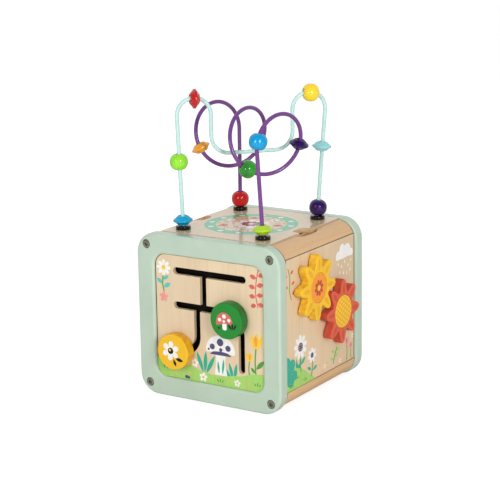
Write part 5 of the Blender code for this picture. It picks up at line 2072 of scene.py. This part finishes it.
@dataclass
class BeadMaze(Section):
    """The lift-off lid, its two bent wires, their bushes and the threaded beads."""

    lid_low: float = 194  # the height of the lid's lower face
    lid_high: float = 200  # the height of its upper face
    lid_u: float = 76  # half of its width
    lid_v: float = 81.4  # half of its depth
    leg_x: float = 56  # how far the wires' feet stand from the middle, left and right
    leg_y: float = 63.3  # how far they do, front and back
    foot: float = 195  # the height of the wires' ends
    bush_top: float = 204.5  # the height of the bushes' upper faces
    bush_low: float = 200.3  # the height of their lower faces
    bush_r: float = 9  # their radius
    hole_r: float = 2.55  # the radius of the wires' holes in the bushes and the lid
    wire_r: float = 2.45  # the wires' radius
    bore_r: float = 3.5  # the radius of the beads' bores
    crown_z: float = 336.2  # the height of the middles of the aqua wire's arches
    crown_r: float = 20.7  # their radius
    crown_left: float = -68.4  # where the left arch's middle stands along the diagonal
    crown_right: float = 74.2  # where the right one's does
    dip_z: float = 289  # the height of the aqua wire's low run
    dip_r: float = 21.7  # the radius of its two bends
    coil_r: float = 37.6  # the radius of the purple wire's coil
    coil_turns: float = 2.5  # how many turns it has
    coil_pitch: float = 72.4  # how far each full turn moves on
    coil_ease: float = 200  # the degrees over which that starts and stops
    coil_yaw: float = -22  # the heading of its axis, in degrees from the right
    coil_mid: Triple = (-2.5, -1.1, 304)  # its middle
    drop: float = 0.9  # how far a bead's middle lies inside its wire's curve

    @property
    def feet(self) -> list[Point]:
        """Where the wires stand, in the order of the CAD bushes' numbers."""
        return [(u, v) for v in (-self.leg_y, self.leg_y) for u in (-self.leg_x, self.leg_x)]

    def lid(self) -> None:
        """Makes the lid, with its two finger notches and the wires' holes."""
        bench, low, high = self.bench, self.lid_low, self.lid_high
        lid = bench.slab([Pencil.rounded(self.lid_u, self.lid_v, 2, (0, 0), 4)], low, high)
        for edge in (-self.lid_u, self.lid_u):
            notch = Pencil.rounded(12, 14, 8, (edge, 0), 10)
            bench.cut(lid, bench.slab([notch], low - OVER, high + OVER))
        bench.bevel(lid, 0.5, 3, lambda m: m.z > high - 0.1 or m.z < low + 0.1)
        for foot in self.feet:
            bench.drill(lid, foot, self.hole_r, 24, low, high)
        self.fit(lid, Side.TOP.at(), "maze_lid", "lid_unit", LID_PLY, "lid")

    @property
    def diagonal(self) -> Vector:
        """The level direction from the aqua wire's front foot to its rear one."""
        return Vector((self.leg_x, self.leg_y, 0)).normalized()

    def on_diagonal(self, along: float, height: float) -> Vector:
        """The point at a distance along the aqua wire's plane and a height."""
        return self.diagonal * along + Vector((0, 0, height))

    def aqua_path(self) -> list[Vector]:
        """The middle line of the aqua wire."""
        reach = math.hypot(self.leg_x, self.leg_y)
        left, right, dip = self.crown_left, self.crown_right, self.crown_r + self.dip_r
        dip_top = self.dip_z + self.dip_r
        flat = [(-reach, self.foot), (-reach, self.bush_top)]
        flat += Pencil.arc((left, self.crown_z), self.crown_r, 180, 0, 36)
        flat += Pencil.arc((left + dip, dip_top), self.dip_r, 180, 270, 20)
        flat += Pencil.arc((right - dip, dip_top), self.dip_r, 270, 360, 20)
        flat += Pencil.arc((right, self.crown_z), self.crown_r, 180, 0, 36)
        flat += [(reach, self.bush_top), (reach, self.foot)]
        return [self.on_diagonal(*point) for point in flat]

    def coil_point(self, degrees: float) -> Vector:
        """Finds a point of the purple wire's coil, whose ends stand upright over its legs.

        Args:
            degrees: how far round the coil it is.

        Returns:
            The point.
        """
        whole = 360 * self.coil_turns
        near = min(degrees, whole - degrees)
        ease = self.coil_ease
        gone = near * near / (2 * ease) if near < ease else near - ease / 2
        ahead = gone if degrees <= whole / 2 else whole - ease - gone
        advance = (ahead - (whole - ease) / 2) / 360 * self.coil_pitch
        yaw, turn = math.radians(self.coil_yaw), math.radians(degrees)
        axis = Vector((math.cos(yaw), math.sin(yaw), 0))
        across = Vector((-math.sin(yaw), math.cos(yaw), 0))
        around = self.coil_r * (math.cos(turn) * across + math.sin(turn) * Vector((0, 0, 1)))
        return Vector(self.coil_mid) + advance * axis + around

    def purple_path(self) -> list[Vector]:
        """The middle line of the purple wire."""
        whole = 360 * self.coil_turns
        path = [Vector((-self.leg_x, self.leg_y, z)) for z in (self.foot, self.bush_top)]
        path += [self.coil_point(whole * k / 200) for k in range(201)]
        return path + [Vector((self.leg_x, -self.leg_y, z)) for z in (self.bush_top, self.foot)]

    def wires(self) -> None:
        """Bends both wires."""
        for name, path, finish in (
            ("aqua", self.aqua_path(), AQUA_WIRE), ("purple", self.purple_path(), PURPLE_WIRE)
        ):
            wire = self.bench.tube(path, self.wire_r)
            self.bench.only(wire)
            bpy.ops.object.shade_smooth_by_angle(angle=math.radians(50))
            self.bench.place(wire, Side.TOP.at())
            self.shop.deliver(wire, f"{name}_wire", "lid_unit", finish, f"wire_{name}")

    def bushes(self) -> None:
        """Makes the black bush at each of the wires' feet."""
        bench, low, top = self.bench, self.bush_low, self.bush_top
        hole, outer = self.hole_r, self.bush_r
        corners = [(hole, top, 0.3), (outer, top, 1.1), (outer, low, 0.3), (hole, low, 0)]
        first = bench.revolve(Pencil.soften(corners, 5), closed=True)
        bench.smooth(first)
        for number, foot in enumerate(self.feet, 1):
            made = bench.place(bench.copy(first), Side.TOP.at(*foot))
            name = f"bush_{number}"
            self.shop.deliver(made, f"foot_{name}", "lid_unit", BLACK, name)
        bench.scrap(first)

    def on_leg(self, foot: Vector, top: Vector, reach: float, drop: float = 0) -> Spot:
        """Finds where a bead stands on a leg.

        Args:
            foot: the leg's lower end.
            top: its upper end.
            reach: how far up the bead's middle is.
            drop: how far it is aside.

        Returns:
            The bead's middle and the way that its bore points.
        """
        along = (top - foot).normalized()
        aside = along.cross(Vector((0, 1, 0))).normalized()
        return foot + along * reach + drop * aside, along

    def on_bend(self, before: Vector, here: Vector, after: Vector) -> Spot:
        """Finds where a bead hangs on a bend.

        Args:
            before: a point of the wire a little before the bead.
            here: the one in its middle.
            after: one a little after it.

        Returns:
            The bead's middle and the way that its bore points.
        """
        along = (after - before).normalized()
        inward = before + after - 2 * here
        inward = (inward - inward.dot(along) * along).normalized()
        return here + self.drop * inward, along

    def on_crown(self, middle: float, degrees: float) -> Spot:
        """Where a bead hangs on one of the aqua wire's arches."""
        flat = Pencil.arc((middle, self.crown_z), self.crown_r, degrees + 1, degrees - 1, 2)
        return self.on_bend(*[self.on_diagonal(*point) for point in flat])

    def on_coil(self, degrees: float) -> Spot:
        """Where a bead hangs on the purple coil."""
        return self.on_bend(*[self.coil_point(degrees + step) for step in (-1, 0, 1)])

    def bead_spots(self) -> list[tuple[str, str, str, Spot]]:
        """Each bead's name, shape, colour and place."""
        aqua, purple = self.aqua_path(), self.purple_path()
        left, right = (aqua[1], aqua[2]), (aqua[-2], aqua[-3])
        rear, front = (purple[1], purple[2]), (purple[-2], purple[-3])
        ball = 0.6 + 10.3 * math.sin(math.radians(65))
        return [
            ("aqua_1", "saucer", "sky", self.on_leg(*left, 6.8)),
            ("aqua_2", "ball", "lime", self.on_leg(*left, 77.5, self.drop)),
            ("aqua_3", "saucer", "red", self.on_crown(self.crown_left, 87)),
            ("aqua_4", "ball", "lemon", self.on_crown(self.crown_right, 83)),
            ("aqua_5", "saucer", "pale_aqua", self.on_leg(*right, 85.5, self.drop)),
            ("aqua_6", "ball", "violet", self.on_leg(*right, ball)),
            ("purple_1", "ball", "red", self.on_leg(*rear, ball)),
            ("purple_2", "saucer", "tangerine", self.on_coil(201)),
            ("purple_3", "ball", "leaf", self.on_coil(595)),
            ("purple_4", "saucer", "violet", self.on_coil(715)),
            ("purple_5", "ball", "blue", self.on_coil(885)),
            ("purple_6", "saucer", "chartreuse", self.on_leg(*front, 6.8)),
        ]

    @staticmethod
    def barrel(radius: float, tall: float, end: float) -> Loop:
        """Draws the full curve of a round bead, cut flat at its ends.

        Args:
            radius: its greatest radius.
            tall: how high the curve would go before the cut.
            end: how high it is cut.

        Returns:
            The points from the upper end to the lower.
        """
        curve: Loop = []
        full = 1.15  # above 1 the curve is fuller than an ellipse
        limit = math.asin((end / tall) ** full)
        for k in range(33):
            angle = limit * (1 - k / 16)
            rise = tall * math.copysign(abs(math.sin(angle)) ** (1 / full), angle)
            curve.append((radius * math.cos(angle) ** (1 / full), rise))
        rim = curve[0][0] - 0.5
        return [(rim, end + 0.1), *curve, (rim, -end - 0.1)]

    def beads(self) -> None:
        """Turns one bead of each shape and threads copies of them on the wires."""
        bench, bore = self.bench, self.bore_r
        ball = self.barrel(10.8, 10.1, 9.4)
        ball += [(3.9, -8.9), (bore, -5.6), (bore, 5.6), (3.9, 8.9)]
        corners = [
            (5.4, 6.2, 1.5), (9.3, 2.5, 4.0), (11.7, 1.0, 0.9), (11.7, -1.0, 0.9),
            (9.3, -2.5, 4.0), (5.4, -6.2, 1.5), (bore, -4.2, 0.4), (bore, 4.2, 0.4),
        ]
        profiles = {"ball": ball, "saucer": Pencil.soften(corners)}
        shapes = {name: bench.revolve(loop, closed=True) for name, loop in profiles.items()}
        for shape in shapes.values():
            bench.smooth(shape, 45)
        for name, shape, colour, (spot, along) in self.bead_spots():
            turned = along.to_track_quat("Z", "Y").to_matrix().to_4x4()
            place = Side.TOP.at() @ Matrix.Translation(spot * MM) @ turned
            made = bench.place(bench.copy(shapes[shape]), place)
            label = f"{colour}_{shape}_{name}"
            self.shop.deliver(made, label, f"bead_on_{name}", BEADS[colour], f"bead_{name}")
        bench.scrap(*shapes.values())

    def artwork(self) -> None:
        """Prints the lid: a mint ring round a wreath of leaves, berries and small flowers."""
        art = Print(self.shop, "lid_print", "lid_unit", self.lid_high)
        art.ink(MINT_RING, Pencil.circle((0, 0), 57, 96), Pencil.circle((0, 0), 43, 96))
        stars = [(Pencil.polar((0, 0), 50, a), a) for a in range(15, 375, 30)]
        art.ink(LID_SNOW, *[Motif.rosette(spot, 4, 6, 0.5, a) for spot, a in stars])
        wreath = [
            (*Pencil.polar((0, 0), radius, heading), heading + lean)
            for heading in (360 / 14 * k for k in range(14))
            for radius, lean in ((34.6, 112), (30.4, 66))
        ]
        art.ink(LID_LEAF, *Motif.leaves(9, 4.4, *wreath))
        for k in range(7):
            heading = 360 / 7 * k + 13
            middle = Pencil.polar((0, 0), 33.4, heading)
            art.ink(LID_SNOW if k % 2 else LID_ROSE, Motif.rosette(middle, 5.8, 5, 0.4, heading))
            art.ink(LID_INDIGO, Pencil.circle(middle, 1.8, 14))
        art.ink(LID_ROSE, *Pencil.dots(1.3, 12, *Pencil.ring((0, 0), 40, range(8, 368, 24))))
        art.ink(LID_SNOW, Motif.rosette((0, 0), 23, 10, 0.5, 10))
        art.ink(LID_INDIGO, Motif.rosette((0, 0), 13, 10, 0.66, 28))
        art.ink(LID_ROSE, Motif.rosette((0, 0), 8.6, 8, 0.6, 10))
        art.ink(LID_SNOW, Pencil.circle((0, 0), 3))
        art.press(Side.TOP.at())

    def build(self) -> None:
        """Makes the lid and all that stands on it."""
        self.lid()
        self.artwork()
        self.wires()
        self.bushes()
        self.beads()


@dataclass(frozen=True)
class Studio:
    """The camera, the soft lamps and the white floor."""

    place: Triple = (1.01269, -1.58771, 0.61899)  # the camera's place in the world
    yaw: float = 32.50054  # its heading in degrees, left of +Y
    pitch: float = -13.44815  # its angle in degrees above the level
    roll: float = -0.85979  # its turn in degrees about its own line of sight
    lens: float = 115.02  # its focal length in mm for a 36 mm sensor
    fill: float = 0.5  # the strength of the even light from all round
    lamp_height: float = 16  # how high the front lamps stand, in degrees above the level
    lamp_far: float = 2.0  # their distance from the cube, in metres
    floor_sink: float = 0.0002  # how far the floor lies below the cube's feet, in metres
    floor_glow: float = 0.77  # the floor's own glow to the camera
    dim: float = 0.12  # how bright the room before the cube is in its gloss

    def camera(self) -> None:
        """Adds the camera that sees the cube as the photograph does."""
        yaw, pitch, roll = (math.radians(a) for a in (self.yaw, self.pitch, self.roll))
        ahead = Vector(
            (-math.sin(yaw) * math.cos(pitch), math.cos(yaw) * math.cos(pitch), math.sin(pitch))
        )
        right = Vector((math.cos(yaw), math.sin(yaw), 0))
        up = right.cross(ahead)
        aside = math.cos(roll) * right + math.sin(roll) * up
        above = -math.sin(roll) * right + math.cos(roll) * up
        turned = Matrix((aside, above, -ahead)).transposed().to_4x4()
        data = bpy.data.cameras.new("camera")
        data.lens = self.lens
        data.sensor_width = 36
        made = bpy.data.objects.new("camera", data)
        made.matrix_world = Matrix.Translation(self.place) @ turned
        bpy.context.scene.collection.objects.link(made)
        bpy.context.scene.camera = made

    def lamp(
        self, name: str, azimuth: float, height: float, far: float, size: float, power: float
    ) -> Piece:
        """Adds one soft square lamp that looks at the middle of the cube, unseen in gloss.

        Args:
            name: its name.
            azimuth: degrees from the front, towards the right.
            height: degrees above the level.
            far: its distance in metres.
            size: the length of its sides.
            power: its power in watts.

        Returns:
            The lamp.
        """
        turn, lift = math.radians(azimuth), math.radians(height)
        middle = Vector((0, 0, 0.16))
        way = Vector(
            (math.sin(turn) * math.cos(lift), -math.cos(turn) * math.cos(lift), math.sin(lift))
        )
        data = bpy.data.lights.new(name, "AREA")
        data.shape = "SQUARE"
        data.size = size
        data.energy = power
        made = bpy.data.objects.new(name, data)
        turned = way.to_track_quat("Z", "Y").to_matrix().to_4x4()
        made.matrix_world = Matrix.Translation(middle + far * way) @ turned
        made.visible_glossy = False
        bpy.context.scene.collection.objects.link(made)
        return made

    def allot(self, lamp: Piece, pieces: Sequence[Piece], state: str) -> None:
        """Lets a lamp light only these pieces or all but them.

        Args:
            lamp: the lamp.
            pieces: the pieces.
            state: INCLUDE or EXCLUDE.
        """
        group = bpy.data.collections.new(f"{lamp.name}_{state.lower()}")
        for piece in pieces:
            group.objects.link(piece)
        for member in group.collection_objects:
            member.light_linking.link_state = state
        lamp.light_linking.receiver_collection = group

    def lamps(self, glossy: Sequence[Piece]) -> None:
        """Sets two soft lamps, small ones in their places for the glossy pieces, and one behind.

        Args:
            glossy: the lacquered pieces, in which the small lamps make twin highlights.
        """
        for name, azimuth, power in (("left", -3.5, 9.2), ("right", 54.5, 18)):
            for kind, size, state in (("lamp", 0.7, "EXCLUDE"), ("glint", 0.25, "INCLUDE")):
                lamp_at = (azimuth, self.lamp_height, self.lamp_far)
                made = self.lamp(f"{kind}_{name}", *lamp_at, size, power)
                made.visible_glossy = kind == "glint"
                self.allot(made, glossy, state)
        self.lamp("lamp_back", 212, 35, 2.2, 1.0, 8)

    def world(self) -> None:
        """Makes the world white to the eye, pale behind the cube and dim before it in gloss."""
        world = bpy.data.worlds.new("studio")
        bpy.context.scene.world = world
        graph = Graph(world)
        rays = graph.node("LightPath", {}).outputs
        yaw = math.radians(self.yaw)
        feeds = {0: graph.coords.outputs["Generated"], 1: (-math.sin(yaw), math.cos(yaw), 0)}
        ahead = graph.node("VectorMath", feeds, operation="DOT_PRODUCT").outputs["Value"]
        gloss = graph.spread(ahead, -0.1, 0.5, self.dim, 1.0)
        light = graph.node("Mix", {0: rays["Is Glossy Ray"], 2: self.fill, 3: gloss}).outputs[0]
        light = graph.node("Mix", {0: rays["Is Camera Ray"], 2: light, 3: 1.0}).outputs[0]
        graph.shader.inputs["Color"].default_value = (1, 1, 1, 1)
        graph.feed(graph.shader.inputs["Strength"], light)

    def floor(self) -> None:
        """Lays the white floor, which keeps a soft shadow of the cube."""
        bpy.ops.object.select_all(action="DESELECT")
        bpy.ops.mesh.primitive_plane_add(size=40, location=(0, 0, -self.floor_sink))
        floor = bpy.context.active_object
        floor.name = "studio_floor"
        bpy.ops.object.transform_apply(location=True, rotation=True, scale=True)
        graph = Graph(bpy.data.materials.new("studio_floor"))
        graph.dress((0.8, 0.8, 0.8, 1), 0.9, 0)
        dull = graph.node("BsdfDiffuse", {"Color": (0.5, 0.5, 0.5, 1)})
        glow = graph.node("Emission", {"Color": (1, 1, 1, 1), "Strength": self.floor_glow})
        both = graph.node("AddShader", {0: dull.outputs[0], 1: glow.outputs[0]})
        seen = graph.node("LightPath", {}).outputs["Is Camera Ray"]
        pick = graph.node("MixShader", {0: seen, 1: graph.shader.outputs[0], 2: both.outputs[0]})
        graph.feed(graph.tree.nodes["Material Output"].inputs["Surface"], pick.outputs[0])
        floor.data.materials.append(graph.owner)

    def build(self, glossy: Sequence[Piece]) -> None:
        """Sets up the whole studio round the finished pieces.

        Args:
            glossy: the lacquered pieces.
        """
        self.camera()
        self.lamps(glossy)
        self.world()
        self.floor()
        bpy.context.scene.view_settings.view_transform = "Standard"


def main() -> None:
    """Builds the scene on the CAD frame."""
    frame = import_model()
    shop = Workshop(nodes=frame["nodes"])
    gears, clock = Gears(shop), Clock(shop)
    Carcass(shop).build({Side.RIGHT: [gears.sun, gears.flower], Side.LEFT: [clock.centre]})
    SlotMaze(shop).build()
    gears.build()
    clock.build()
    Rollers(shop).build()
    BeadMaze(shop).build()
    Studio().build(shop.glossy)
    log.info("%d pieces delivered", shop.tally)


if __name__ == "__main__":
    logging.basicConfig(level=logging.INFO)
    main()
